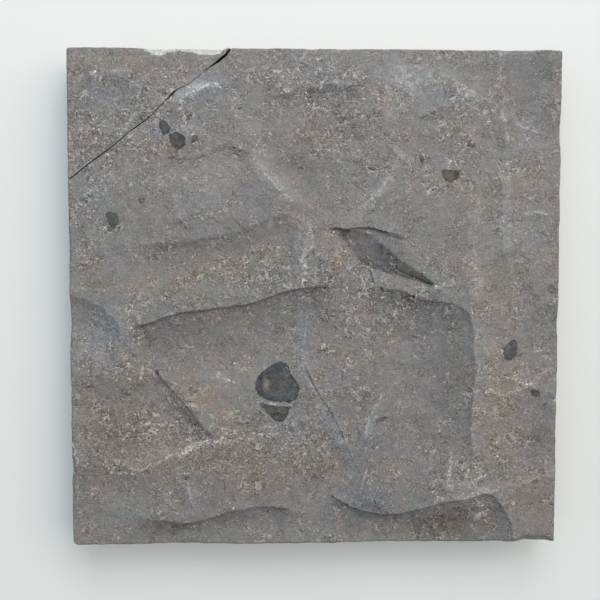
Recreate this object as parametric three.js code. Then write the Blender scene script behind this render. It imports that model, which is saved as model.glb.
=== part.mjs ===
// Limestone building stone. Millimetres, +Z up.
// A square slab, sawn on its four sides and its back, whose face is left as the stone split.
// It lies on its sawn back with the split face up. The origin is the middle of the back.
import * as THREE from 'three';
import { ConvexHull } from 'three/addons/math/ConvexHull.js';
import { ImprovedNoise } from 'three/addons/math/ImprovedNoise.js';

// The sawn blank: X, Y and Z up to the mean level of the split face.
const slab = { width: 300, depth: 304, thickness: 31 };

// Spacing of the facets on plain rock, along a feature and round the sawn edge; the closest that
// two points of the face may lie, on a feature and in the crack; the clear strip along the edge.
const spacing = { field: 5, feature: 4.2, edge: 5, closest: 1.7, inCrack: 0.45, margin: 2.6 };

// The worn edge between the split face and the sawn sides: how far in and down it is rounded, how
// much that wanders and over what length, and how much more is lost at a corner.
const arris = {
  inset: 0.9, insetWander: 0.6, insetLength: 11, drop: 2.2, dropWander: 1.3, dropLength: 7, corner: 1.6,
};

// Roughness of plain split rock: the size of its lumps and their height.
const grain = [
  { size: 30, height: 0.75, layer: 3.1 },
  { size: 13, height: 0.4, layer: 17.7 },
  { size: 6.5, height: 0.24, layer: 41.3 },
];

// Steps in the split face, where it jumps from one bed to the next. Walking along the path, the
// high side is on the left. The face rises to the lip over `back`, drops by `cliff` in a wall of
// width `wall`, sinks by a further `drop` as far out as `sag` and climbs back over `run`.
// `fade` is the length over which the step dies out at its two ends.
const ledges = [
  { name: 'longLedge', rise: 0.5, back: 26, cliff: 1.5, wall: 1.3, drop: 3.2, sag: 24, run: 40,
    fade: [8, 24],
    path: [[-115, -17.5], [-107.5, -15.5], [-100, -13], [-89, -8.5], [-72.5, -6], [-56.5, -4],
      [-44, -3], [-30, 1.5], [-15.5, 6.5], [-7.5, 8], [1.5, 8.5], [11.5, 8.5], [21, 8]] },
  { name: 'shelfEdge', rise: 0.9, back: 26, cliff: 0, wall: 8, drop: 3, sag: 15, run: 22,
    fade: [16, 10],
    path: [[-114, 32.5], [-101, 34.5], [-92, 35], [-82.5, 35.5], [-65.5, 38], [-52, 41], [-40, 44.5],
      [-28, 49.5], [-18, 53], [-9.5, 52.5]] },
  { name: 'flapTop', rise: 0.5, back: 9, cliff: 1.5, wall: 0.8, drop: 0.4, sag: 4, run: 8, fade: [3, 3],
    path: [[7.5, 43.5], [12, 44], [21, 44], [31, 45], [39.5, 42.5], [48, 40], [54, 37.5]] },
  { name: 'plateEdge', rise: 0.7, back: 13, cliff: 0.3, wall: 4, drop: 4.4, sag: 28, run: 50,
    fade: [14, 10],
    path: [[21, 5.5], [27.5, 8], [36, 9], [43, 7.5], [53.5, 6.5], [63.5, 2], [71.5, -0.5], [83, -1.5],
      [91, -3.5], [95.5, -8.5], [98, -19], [98.5, -34], [99.5, -50], [97.5, -61], [97, -89],
      [99, -104.5]] },
  { name: 'lowerLedge', rise: 0.6, back: 18, cliff: 0.9, wall: 1.6, drop: 2.4, sag: 9, run: 16,
    fade: [10, 10],
    path: [[-127, -136], [-117.5, -135.5], [-102.5, -135.5], [-87, -137.5], [-74, -138], [-64, -135],
      [-53, -131], [-40.5, -129], [-29.5, -128], [-20.5, -128.5], [-12, -131.5]] },
  { name: 'rampSide', rise: 0.8, back: 16, cliff: 0.1, wall: 2, drop: 2.2, sag: 14, run: 20,
    fade: [5, 6],
    path: [[-101.5, -40.5], [-97.5, -44.5], [-92, -51], [-85, -58.5], [-79, -65], [-72.5, -74],
      [-65.5, -81.5], [-60, -86.5]] },
  { name: 'hairStep', rise: 0.3, back: 6, cliff: 0.5, wall: 0.8, drop: 0.6, sag: 5, run: 10,
    fade: [3, 4],
    path: [[-90.5, 87], [-80, 85.5], [-70, 87], [-63.5, 90.5], [-54.5, 93.5], [-45.5, 92],
      [-38.5, 87.5]] },
  { name: 'westBowl', rise: 0.5, back: 10, cliff: 0, wall: 4, drop: 2.6, sag: 14, run: 20, fade: [1, 8],
    path: [[-152, 3.5], [-146.5, 2.5], [-138, 0], [-130, -4.5], [-124, -10], [-120, -15], [-119, -20.5],
      [-120.5, -30.5], [-125, -41.5]] },
  { name: 'crownStep', rise: 0.7, back: 16, cliff: 0.3, wall: 3, drop: 1.8, sag: 9, run: 14,
    fade: [16, 8],
    path: [[-32.5, 123], [-18.5, 125], [-7, 126.5], [0, 129], [8.5, 131.5], [17.5, 129.5],
      [28, 126.5]] },
  { name: 'eastHollow', rise: 0.4, back: 10, cliff: 0, wall: 6, drop: 1.2, sag: 12, run: 12,
    fade: [6, 1],
    path: [[124.5, 34], [131, 20], [132.5, 9.5], [138.5, 0], [152.5, -3.5]] },
  { name: 'westStep', rise: 0.5, back: 14, cliff: 0, wall: 8, drop: 1.5, sag: 14, run: 18, fade: [1, 8],
    path: [[-153, -49], [-140.5, -45], [-129.5, -47.5], [-117, -50], [-106, -52.5]] },
  { name: 'southWestStep', rise: 0.6, back: 14, cliff: 0, wall: 8, drop: 1.7, sag: 14, run: 14,
    fade: [1, 8],
    path: [[-152.5, -101.5], [-139, -100.5], [-123.5, -102], [-112, -106]] },
  { name: 'ridgePlate', rise: 0.9, back: 9, cliff: 0.6, wall: 1.6, drop: 0.8, sag: 8, run: 12,
    fade: [3, 3],
    path: [[26.5, 99.5], [24.5, 106], [17, 111], [14.5, 116.5], [9, 121], [2.5, 122]] },
  { name: 'cornerFall', rise: 0.4, back: 10, cliff: 0.2, wall: 3, drop: 2, sag: 14, run: 30,
    fade: [5, 10],
    path: [[117.5, 92], [117, 103.5], [115.5, 111], [112.5, 116.5], [107, 121], [100, 124], [89, 129.5],
      [82.5, 135.5], [73, 139.5]] },
  { name: 'cornerBlade', rise: 0.7, back: 8, cliff: 0.2, wall: 2, drop: 1.2, sag: 8, run: 12,
    fade: [1, 4],
    path: [[150.5, 98.5], [144.5, 100.5], [137, 103.5], [129, 107], [121.5, 109]] },
  { name: 'bowDark', rise: 0.3, back: 8, cliff: 0.4, wall: 1, drop: 0.6, sag: 5, run: 8, fade: [3, 4],
    path: [[61, 110.5], [66, 112], [70.5, 114.5], [76.5, 117.5], [83, 117]] },
  { name: 'bottomScar', rise: 0.6, back: 12, cliff: 0.9, wall: 1.6, drop: 2.4, sag: 15, run: 30,
    fade: [10, 1],
    path: [[6.5, -120.5], [14, -124.5], [21.5, -128.5], [30, -131], [42.5, -133], [51.5, -133],
      [62, -131], [71.5, -128.5], [83, -126], [94, -123.5], [101.5, -121], [107.5, -120.5], [113, -124],
      [118, -130], [122.5, -138.5], [124.5, -146], [123.5, -156.5]] },
];

// Broad fracture faces that fall from a crest to a foot, with the crest on the left of the foot
// when walking along both. Beyond the foot the rock climbs back over `run`.
const slopes = [
  { name: 'wedge', rise: 0.6, back: 10, drop: 3.4, run: 9, fade: [4, 1.5],
    crest: [[13.5, 43], [22, 43], [31, 41.5], [37, 38], [43, 32.5], [50, 26], [59, 20], [66.5, 16],
      [73, 9.5]],
    foot: [[13.5, 42], [19, 35.5], [25.5, 31], [32.5, 24.5], [41.5, 21.5], [50, 17.5], [60, 13.5],
      [71.5, 9.5]] },
];

// Ribs, and creases where the height is negative: a sharp line whose two flanks die out over
// `left` and `right`, as seen walking along the path.
const ribs = [
  { name: 'footRib', height: 0.9, left: 8, right: 8, fade: [4, 1],
    path: [[83.5, -125.5], [95, -123], [106, -120], [117.5, -118], [128.5, -115], [140.5, -110.5],
      [151, -105.5]] },
  { name: 'forkedRib', height: 2, left: 10, right: 20, fade: [8, 6],
    path: [[-42.5, 90], [-36.5, 83.5], [-30.5, 76], [-22, 69], [-14, 64.5], [-7, 57]] },
  { name: 'forkedRibEast', height: 1.6, left: 14, right: 14, fade: [8, 8],
    path: [[34, 57], [41.5, 68], [50.5, 83.5], [58, 91.5]] },
  { name: 'eastRib', height: 1.8, left: 16, right: 4, fade: [10, 8],
    path: [[114.5, 81], [114.5, 67.5], [114.5, 52.5], [115, 37], [114, 23.5]] },
  { name: 'neckRib', height: 0.9, left: 8, right: 12, fade: [6, 6],
    path: [[102, 64.5], [97, 48], [95, 31], [97.5, 21], [99, 7.5], [98.5, -6]] },
  { name: 'lowRib', height: 1.9, left: 9, right: 20, fade: [10, 10],
    path: [[-119.5, -111], [-106, -100.5], [-97, -97.5], [-89, -94.5], [-73, -90.5], [-55, -87],
      [-39, -84.5], [-19.5, -81.5]] },
  { name: 'scarRib', height: -1.2, left: 5, right: 2.2, fade: [2, 1],
    path: [[60, -132.5], [61, -140], [63, -146.5], [65.5, -154]] },
  { name: 'scarRibWest', height: 1.4, left: 5, right: 8, fade: [3, 1],
    path: [[13.5, -128.5], [12.5, -137], [11, -153.5]] },
  { name: 'splayRib', height: 1.2, left: 5, right: 7, fade: [3, 3],
    path: [[-79.5, -111.5], [-77.5, -121.5], [-76, -129]] },
  { name: 'splayCrease', height: -1, left: 6, right: 8, fade: [4, 4],
    path: [[-93.5, -112.5], [-86.5, -120], [-79.5, -133.5]] },
  { name: 'midRib', height: 1.4, left: 12, right: 7, fade: [10, 6],
    path: [[50, -49.5], [43.5, -60.5], [38, -70.5], [34, -82], [32, -92]] },
  { name: 'southRib', height: 1.4, left: 9, right: 9, fade: [6, 4],
    path: [[84.5, -96.5], [83.5, -106], [81.5, -120]] },
  { name: 'swoosh', height: 1.1, left: 7, right: 10, fade: [5, 1],
    path: [[104, -53.5], [111, -57.5], [117, -59.5], [126, -56.5], [133.5, -52], [142, -45.5],
      [151.5, -37]] },
  { name: 'northCrease', height: -1.1, left: 6, right: 14, fade: [6, 8],
    path: [[3.5, 124.5], [11, 116.5], [19.5, 107], [25, 96.5], [30.5, 90.5]] },
  { name: 'middleCrease', height: -1.3, left: 14, right: 12, fade: [8, 6],
    path: [[-18, 85.5], [-9.5, 76.5], [0, 66], [7.5, 60.5]] },
  { name: 'rippleA', height: 1, left: 5, right: 7, fade: [5, 5],
    path: [[-9.5, 104.5], [-2.5, 98.5], [4, 91.5], [9.5, 83.5]] },
  { name: 'rippleB', height: 0.9, left: 4, right: 6, fade: [5, 5],
    path: [[13.5, 100.5], [20, 93.5], [27.5, 85.5], [32, 79.5]] },
  { name: 'pondRim', height: 1.1, left: 12, right: 8, fade: [1, 6],
    path: [[-151, 91], [-144.5, 98], [-136.5, 102.5], [-126.5, 104], [-117, 102.5]] },
  { name: 'pondTop', height: 0.8, left: 6, right: 9, fade: [5, 6],
    path: [[-139.5, 134], [-130, 135], [-119, 136.5], [-109.5, 138.5]] },
  { name: 'crackShoulder', height: 1.2, left: 9, right: 12, fade: [6, 8],
    path: [[-59, 130.5], [-66.5, 129], [-75, 126], [-84.5, 121.5], [-94, 118.5], [-106, 115]] },
  { name: 'scarBrow', height: 0.8, left: 6, right: 4, fade: [5, 4],
    path: [[81.5, -120], [89, -118.5], [96.5, -116.5], [103, -115]] },
];

// Low mounds and hollows: the centre, the reach in X and Y, and the height.
const swells = [
  { name: 'ridgeTop', at: [37, 112.5], reach: [14.5, 12], height: 0.9 },
  { name: 'southWestMound', at: [-113.5, -78], reach: [18, 10.5], height: 1 },
  { name: 'northWestPlate', at: [-66.5, 65], reach: [32.5, 20.5], height: 1.3 },
  { name: 'eastHollow', at: [138, -84], reach: [13.5, 21.5], height: -1.1 },
  { name: 'northWestHollow', at: [-127, 124], reach: [19.5, 12], height: -1.3 },
  { name: 'crownMound', at: [69, 136.5], reach: [19.5, 11], height: 1.2 },
  { name: 'cornerHollow', at: [136.5, 139], reach: [12, 8.5], height: -0.8 },
  { name: 'westMound', at: [-100.5, 61], reach: [21.5, 15.5], height: 0.6 },
  { name: 'bowlMound', at: [-137, -27.5], reach: [8.5, 8.5], height: 0.9 },
  { name: 'flapMound', at: [22.5, 27.5], reach: [9.5, 9.5], height: 0.9 },
  { name: 'eastMound', at: [125.5, 58.5], reach: [13.5, 18], height: 0.8 },
  { name: 'southWestHollow', at: [-102.5, -124], reach: [21.5, 7], height: -0.9 },
  { name: 'southMound', at: [-40.5, -105.5], reach: [24, 12], height: 0.7 },
  { name: 'plateHollow', at: [65, -52.5], reach: [18, 30], height: -0.5 },
  { name: 'cornerMound', at: [-139.5, -123.5], reach: [13.5, 9.5], height: 0.8 },
  { name: 'southEastMound', at: [128, -106], reach: [15.5, 15.5], height: 0.6 },
  { name: 'plateMiddle', at: [-49.5, -30.5], reach: [20.5, 14.5], height: -0.6 },
];

// The crack across the upper left corner. Each stop is x, y, half of the gap, and depth.
const crack = [
  [-52, 152, 1.6, 5], [-58, 146, 1.5, 5], [-66, 139, 0.9, 3], [-74, 132.5, 0.5, 1], [-84, 127, 0.6, 1.5],
  [-90.5, 121.5, 1, 4], [-97, 114, 0.9, 4], [-108, 105.5, 0.7, 3.5], [-119, 97, 0.6, 3],
  [-130, 88.5, 0.6, 3], [-138, 82.5, 0.7, 3], [-150, 73.5, 0.9, 4],
];

// Bites out of the upper edge: side, where along it, half length, how far in and how far down.
const bites = [
  { side: 'back', at: -77, half: 27, inward: 0, down: 2.6 },
  { side: 'back', at: -101, half: 5, inward: 1.2, down: 3 },
  { side: 'back', at: -3, half: 5, inward: 0.9, down: 3 },
  { side: 'back', at: 18, half: 8, inward: 0.7, down: 2.5 },
  { side: 'back', at: 124, half: 16, inward: 1, down: 3 },
  { side: 'right', at: 101, half: 9, inward: 1.3, down: 4 },
  { side: 'right', at: -16, half: 7, inward: 0.9, down: 3 },
  { side: 'right', at: -60, half: 6, inward: 0.8, down: 3 },
  { side: 'front', at: 137, half: 17, inward: 2.6, down: 7 },
  { side: 'front', at: -20, half: 9, inward: 0.6, down: 3 },
  { side: 'left', at: -104, half: 8, inward: 1.4, down: 5 },
  { side: 'left', at: 30, half: 12, inward: 0.6, down: 3 },
];
const chipFace = { at: -77, half: 27, width: 4, taper: 6 };    // the fresh face of the long chip

// Where the crack comes out at a sawn side it gapes: how far it is let in at the edge and at the
// foot, how far down, how much wider than the crack its lips stand, and the stops it keeps clear.
const mouth = { gape: 1.2, footGape: 0.72, gapeDown: 4.8, lips: 0.4, clear: 1.5 };
const biteLean = 0.4;    // how much of a bite's depth is left at its lower end
const exponent = { lip: 1.5, beyondFoot: 1.2, swell: 1.2 };    // how steeply forms die out

const halfX = slab.width / 2;
const halfY = slab.depth / 2;

const clamp = (t) => Math.min(1, Math.max(0, t));
const ease = (t) => clamp(t) ** 2 * (3 - 2 * clamp(t));
const mix = (a, b, t) => a + (b - a) * t;

// A repeatable random number for the jitter of the facets.
let seed = 20;
function random() {
  seed = (seed * 1664525 + 1013904223) % 4294967296;
  return seed / 4294967296;
}

const noise = new ImprovedNoise();
const noiseAt = ([x, y], size, layer) => noise.noise(x / size, y / size, layer);

function roughness(x, y) {
  return grain.reduce((sum, { size, height, layer }) => sum + height * noiseAt([x, y], size, layer), 0);
}

// Corner cutting turns a path of a few points into a gently bent one.
function softened(path, rounds = 2) {
  let line = path;
  for (let round = 0; round < rounds; round++) {
    const next = [line[0]];
    for (let i = 1; i < line.length; i++) {
      const [a, b] = [line[i - 1], line[i]];
      next.push([mix(a[0], b[0], 0.25), mix(a[1], b[1], 0.25)]);
      next.push([mix(a[0], b[0], 0.75), mix(a[1], b[1], 0.75)]);
    }
    next.push(line[line.length - 1]);
    line = next;
  }
  return line;
}

// Where a point lies beside a path: its distance (left is positive), how far along, the length.
function beside(x, y, line) {
  let best = { off: Infinity, side: 1, along: 0 };
  let length = 0;
  for (let i = 1; i < line.length; i++) {
    const [ax, ay] = line[i - 1];
    const dx = line[i][0] - ax;
    const dy = line[i][1] - ay;
    const step = Math.hypot(dx, dy);
    const t = clamp(((x - ax) * dx + (y - ay) * dy) / step ** 2);
    const off = Math.hypot(x - ax - t * dx, y - ay - t * dy);
    if (off < best.off) {
      const side = dx * (y - ay) - dy * (x - ax) < 0 ? -1 : 1;
      best = { off, side, along: length + t * step };
    }
    length += step;
  }
  return { away: best.off * best.side, along: best.along, length };
}

const fading = ({ along, length }, [start, end]) => ease(along / start) * ease((length - along) / end);

function ledgeHeight(x, y, ledge) {
  const place = beside(x, y, ledge.line);
  const up = ledge.rise * clamp(1 - place.away / ledge.back) ** exponent.lip;
  const below = -place.away;
  const sink = Math.sin(Math.PI / 2 * clamp(below / ledge.sag));
  const lowest = ledge.rise - ledge.cliff - ledge.drop;
  const down = below < ledge.sag
    ? ledge.rise - ledge.cliff * ease(below / ledge.wall) - ledge.drop * sink
    : lowest * ease(1 - (below - ledge.sag) / ledge.run);
  return fading(place, ledge.fade) * (place.away > 0 ? up : down);
}

function slopeHeight(x, y, slope) {
  const crest = beside(x, y, slope.crestLine);
  const foot = beside(x, y, slope.footLine);
  let height;
  if (crest.away >= 0) {
    height = slope.rise * clamp(1 - crest.away / slope.back) ** exponent.lip;
  } else if (foot.away > 0) {
    height = slope.rise - (slope.rise + slope.drop) * -crest.away / (foot.away - crest.away);
  } else {
    height = -slope.drop * clamp(1 + foot.away / slope.run) ** exponent.beyondFoot;
  }
  return fading(crest, slope.fade) * height;
}

function ribHeight(x, y, rib) {
  const place = beside(x, y, rib.line);
  const flank = place.away > 0 ? place.away / rib.left : -place.away / rib.right;
  return fading(place, rib.fade) * rib.height * clamp(1 - flank) ** exponent.lip;
}

function swellHeight(x, y, swell) {
  const u = (x - swell.at[0]) / swell.reach[0];
  const v = (y - swell.at[1]) / swell.reach[1];
  return swell.height * Math.exp(-exponent.swell * (u * u + v * v));
}

// Depth of the crack at a point, from the stops on both sides of it.
function crackDepth(x, y) {
  let depth = 0;
  for (let i = 1; i < crack.length; i++) {
    const [ax, ay, halfA, deepA] = crack[i - 1];
    const [bx, by, halfB, deepB] = crack[i];
    const t = clamp(((x - ax) * (bx - ax) + (y - ay) * (by - ay)) / ((bx - ax) ** 2 + (by - ay) ** 2));
    const off = Math.hypot(x - mix(ax, bx, t), y - mix(ay, by, t));
    depth = Math.max(depth, mix(deepA, deepB, t) * clamp(1 - off / mix(halfA, halfB, t)));
  }
  return depth;
}

// The long chip falls away from the edge of its face to the sawn side.
function chipDepth(x, y) {
  const inFace = clamp((y - halfY + chipFace.width) / chipFace.width);
  const taper = ease((chipFace.half - Math.abs(x - chipFace.at)) / chipFace.taper);
  return bites[0].down * inFace * taper;
}

for (const ledge of ledges) ledge.line = softened(ledge.path);
for (const rib of ribs) rib.line = softened(rib.path);
for (const slope of slopes) {
  slope.crestLine = softened(slope.crest);
  slope.footLine = softened(slope.foot);
}

function splitFace(x, y) {
  let z = slab.thickness + roughness(x, y);
  for (const ledge of ledges) z += ledgeHeight(x, y, ledge);
  for (const slope of slopes) z += slopeHeight(x, y, slope);
  for (const rib of ribs) z += ribHeight(x, y, rib);
  for (const swell of swells) z += swellHeight(x, y, swell);
  return z - chipDepth(x, y) - crackDepth(x, y);
}

// Stops round the outline, anticlockwise from the front left corner: where each is, which way is
// inward, and its side. The crack's two mouths get stops for both lips and the bottom.
function outlineStops() {
  const mouths = { back: crack[0], left: crack[crack.length - 1] };
  const sides = [
    { side: 'front', from: [-halfX, -halfY], to: [halfX, -halfY], inward: [0, 1] },
    { side: 'right', from: [halfX, -halfY], to: [halfX, halfY], inward: [-1, 0] },
    { side: 'back', from: [halfX, halfY], to: [-halfX, halfY], inward: [0, -1] },
    { side: 'left', from: [-halfX, halfY], to: [-halfX, -halfY], inward: [1, 0] },
  ];
  const stops = [];
  for (const { side, from, to, inward } of sides) {
    const axis = inward[0] === 0 ? 0 : 1;
    const length = Math.abs(to[axis] - from[axis]);
    const sign = Math.sign(to[axis] - from[axis]);
    const count = Math.round(length / spacing.edge);
    let places = Array.from({ length: count }, (_, i) => from[axis] + sign * i * length / count);
    const outlet = mouths[side];
    if (outlet) {
      const [middle, half] = [outlet[axis], outlet[2] + mouth.lips];
      places = places.filter((p, i) => i === 0 || Math.abs(p - middle) > half + mouth.clear);
      places.push(middle - half, middle, middle + half);
      places.sort((a, b) => sign * (a - b));
    }
    places.forEach((at, i) => {
      const point = axis === 0 ? [at, from[1]] : [from[0], at];
      const inMouth = outlet ? at === outlet[axis] : false;
      stops.push({ side, at, point, inward, inMouth, corner: i === 0 });
    });
  }
  return stops;
}

// How far the upper edge is worn in and down at a stop.
function wear({ side, at, point, corner }) {
  let inward = arris.inset + arris.insetWander * noiseAt(point, arris.insetLength, 5.5);
  let down = arris.drop + arris.dropWander * noiseAt(point, arris.dropLength, 9.4);
  for (const bite of bites) {
    if (bite.side !== side) continue;
    const share = ease(1 - Math.abs(at - bite.at) / bite.half);
    inward += bite.inward * share;
    down = Math.max(down, bite.down * share + arris.drop);
  }
  return { inward: corner ? inward + arris.corner : inward, down };
}

// The split face: a net of triangles through stops on the outline, the features and plain rock.
function facePoints(stops) {
  const points = stops.map(({ point }) => point);
  const add = (x, y, gap) => {
    if (Math.abs(x) > halfX - spacing.margin || Math.abs(y) > halfY - spacing.margin) return;
    if (points.every(([px, py]) => Math.hypot(px - x, py - y) >= gap)) points.push([x, y]);
  };
  const addRow = (line, off, gap) => {
    const curve = new THREE.CurvePath();
    for (let i = 1; i < line.length; i++) {
      curve.add(new THREE.LineCurve(new THREE.Vector2(...line[i - 1]), new THREE.Vector2(...line[i])));
    }
    const count = Math.ceil(curve.getLength() / gap);
    for (let i = 0; i <= count; i++) {
      const at = curve.getPoint(i / count);
      const along = curve.getTangent(i / count);
      add(at.x + along.y * off, at.y - along.x * off, spacing.closest);
    }
  };
  crack.slice(1).forEach(([bx, by, halfB], i) => {
    const [ax, ay, halfA] = crack[i];
    const step = Math.hypot(bx - ax, by - ay);
    const count = Math.ceil(step / spacing.feature);
    for (let k = 0; k <= count; k++) {
      const half = mix(halfA, halfB, k / count);
      const [x, y] = [mix(ax, bx, k / count), mix(ay, by, k / count)];
      for (const off of [0, half, -half]) {
        add(x + (by - ay) / step * off, y - (bx - ax) / step * off, spacing.inCrack);
      }
    }
  });
  for (const { crestLine, footLine } of slopes) {
    addRow(crestLine, 0, spacing.feature);
    addRow(footLine, 0, spacing.feature);
  }
  for (const { line, wall } of ledges) {
    addRow(line, 0, spacing.feature);
    addRow(line, Math.max(wall, spacing.closest), spacing.feature);
  }
  for (const { line } of ribs) addRow(line, 0, spacing.feature);
  for (let x = -halfX; x < halfX; x += spacing.field) {
    for (let y = -halfY; y < halfY; y += spacing.field) {
      add(x + spacing.field * random(), y + spacing.field * random(), spacing.field * 0.6);
    }
  }
  return points;
}

// Delaunay triangles: the points are lifted to a paraboloid, and the underside of its hull is kept.
function triangulated(points) {
  const lifted = points.map(([x, y], index) => {
    const vertex = new THREE.Vector3(x, y, (x * x + y * y) / 100);
    vertex.index = index;
    return vertex;
  });
  const triangles = [];
  for (const face of new ConvexHull().setFromPoints(lifted).faces) {
    if (face.normal.z > -1e-6) continue;
    const corners = [face.edge, face.edge.next, face.edge.prev].map((edge) => edge.head().point.index);
    const [a, b, c] = corners.map((i) => points[i]);
    const turn = (b[0] - a[0]) * (c[1] - a[1]) - (b[1] - a[1]) * (c[0] - a[0]);
    if (Math.abs(turn) < 1e-6) continue;
    triangles.push(turn > 0 ? corners : [corners[0], corners[2], corners[1]]);
  }
  return triangles;
}

function stoneGeometry() {
  const stops = outlineStops();
  const points = facePoints(stops);
  const faces = triangulated(points);
  const rim = stops.length;
  const vertices = points.map(([x, y]) => [x, y, splitFace(x, y)]);
  const skirts = [[], []];

  stops.forEach((stop, i) => {
    const { inward, down } = wear(stop);
    const [x, y] = stop.point;
    const lean = stop.corner ? [-Math.sign(x), -Math.sign(y)] : stop.inward;
    const top = vertices[i];
    vertices[i] = [x + lean[0] * inward, y + lean[1] * inward, top[2]];
    const level = stop.inMouth ? top[2] + crackDepth(x, y) - mouth.gapeDown : top[2];
    const bite = Math.max(0, inward - arris.inset - arris.insetWander - arris.corner) * biteLean;
    const edgeIn = stop.inMouth ? bite + mouth.gape : bite;
    const footIn = stop.inMouth ? mouth.footGape : 0;
    skirts[0].push([x + lean[0] * edgeIn, y + lean[1] * edgeIn, level - down]);
    skirts[1].push([x + lean[0] * footIn, y + lean[1] * footIn, 0]);
  });

  const index = [...faces];
  const first = vertices.length;
  vertices.push(...skirts[0], ...skirts[1], [0, 0, 0]);
  const centre = vertices.length - 1;
  for (let i = 0; i < rim; i++) {
    const j = (i + 1) % rim;
    index.push([i, first + i, first + j], [i, first + j, j]);
    index.push([first + i, first + rim + i, first + rim + j], [first + i, first + rim + j, first + j]);
    index.push([first + rim + j, first + rim + i, centre]);
  }

  const geometry = new THREE.BufferGeometry();
  geometry.setAttribute('position', new THREE.Float32BufferAttribute(vertices.flat(), 3));
  geometry.setIndex(index.flat());
  geometry.computeVertexNormals();
  return geometry;
}

const limestone = new THREE.MeshStandardMaterial({
  color: 0x807e7c,
  roughness: 0.88,
  metalness: 0,
  flatShading: true,
});

const stone = new THREE.Mesh(stoneGeometry(), limestone);
stone.name = 'limestone_block';

const buildingStone = new THREE.Group();
buildingStone.add(stone);

export default buildingStone;
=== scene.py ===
import math

import bpy
import numpy as np
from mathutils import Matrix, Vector


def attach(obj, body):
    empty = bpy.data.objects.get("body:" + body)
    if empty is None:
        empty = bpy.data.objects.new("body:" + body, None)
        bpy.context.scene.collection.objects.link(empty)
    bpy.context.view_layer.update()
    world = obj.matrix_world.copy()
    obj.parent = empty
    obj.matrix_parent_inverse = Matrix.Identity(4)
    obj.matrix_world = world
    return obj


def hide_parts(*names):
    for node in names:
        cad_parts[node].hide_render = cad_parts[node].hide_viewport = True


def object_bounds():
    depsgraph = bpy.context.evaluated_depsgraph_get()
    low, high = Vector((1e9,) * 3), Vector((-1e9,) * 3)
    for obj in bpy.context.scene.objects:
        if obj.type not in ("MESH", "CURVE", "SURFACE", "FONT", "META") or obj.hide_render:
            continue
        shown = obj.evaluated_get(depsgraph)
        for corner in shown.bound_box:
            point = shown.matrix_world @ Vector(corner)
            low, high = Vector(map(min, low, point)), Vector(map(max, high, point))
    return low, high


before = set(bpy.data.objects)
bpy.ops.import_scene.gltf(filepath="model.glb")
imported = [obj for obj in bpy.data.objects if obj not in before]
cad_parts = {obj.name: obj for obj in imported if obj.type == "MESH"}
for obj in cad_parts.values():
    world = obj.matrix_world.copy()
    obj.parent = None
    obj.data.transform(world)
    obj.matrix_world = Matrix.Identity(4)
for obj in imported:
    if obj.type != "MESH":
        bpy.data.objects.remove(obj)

# Limestone building stone: a square slab lying on its sawn back, split face up.
# Lengths in the dictionaries are millimetres; the meshes are in metres.
mm = 0.001
cadLow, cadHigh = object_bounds()
halfX = cadHigh.x / mm
halfY = cadHigh.y / mm
print("frame loaded: slab", round(2 * halfX), "by", round(2 * halfY), "mm")


camera = {
    "place": (-19.6, 25.0, 509.4),       # nearly straight above the stone
    "lean": (-2.98, -1.20, 0.04),        # degrees about X, Y and Z
    "lens": 46.9,
    "sensor": 36.0,
}


def placeCamera():
    bpy.ops.object.camera_add(location=[v * mm for v in camera["place"]],
                              rotation=[math.radians(v) for v in camera["lean"]])
    eye = bpy.context.object
    eye.name = "camera"
    eye.data.lens = camera["lens"]
    eye.data.sensor_width = camera["sensor"]
    eye.data.clip_start = 0.01
    bpy.context.scene.camera = eye


slab = {
    "thickness": 31.0,     # to the mean level of the split face
    "step": 1.48,          # between points of the face, before the features are refined
    "wallLevels": (0.5, 1.1, 1.8, 2.7, 4.0, 6.0, 9.0, 13.0, 18.0, 24.0, 31.0),
    "bend": 0.5,           # how far the features wander from their paths
    "bendSize": 8,         # and over what length
    "flank": 1.5,          # how hollow the flanks of ribs and lips are
    "toe": 1.2,            # and the foot of a slope
    "uneven": 0.3,         # how much a ledge varies in height,
    "unevenSize": 16,      # and over what length
    "snap": 0.3,           # points nearer than this to a crest or foot are drawn onto it
    "crackSnap": 0.09,     # and so are those near the lips of the crack
    "mouth": 2.5,          # how deep the crack cuts into the sides
}
# where the mesh is made finer: how deep below the face, and how far from each kind of line
finer = {"depth": 12, "feature": 1.9, "mark": 1.0, "edge": 2.1, "crack": 4}
finerCrack = [(9, 0.9), (0.2, 0.3)]    # twice more, within this depth and this far past its lips
seeds = {"bendX": 11, "bendY": 21, "streaks": 31, "grain": 40, "patchX": 61, "patchY": 71, "ledges": 77,
         "beds": 90, "flakes": 95}

# size and height of the lumps of plain split rock
grain = [(30, 0.9), (13, 0.5), (6.5, 0.28), (3.2, 0.14), (1.8, 0.07)]
scallops = [(9, 0.7, 300), (4.2, 0.32, 400)]    # size across the grain, height, seed
scallopShape = {"stretch": 1.9, "rise": 0.35, "calm": 0.75}
grainLies = (12, 72, 132)      # directions that the grain is blended from, in degrees
# thin flakes that follow the bedding: beds, their size and tilt, the height and sharpness of their edges
flakes = {"beds": 2.6, "size": 34, "tiltX": 0.02, "tiltY": 0.03, "height": 0.4, "edge": 0.16, "spread": 25}

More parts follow.
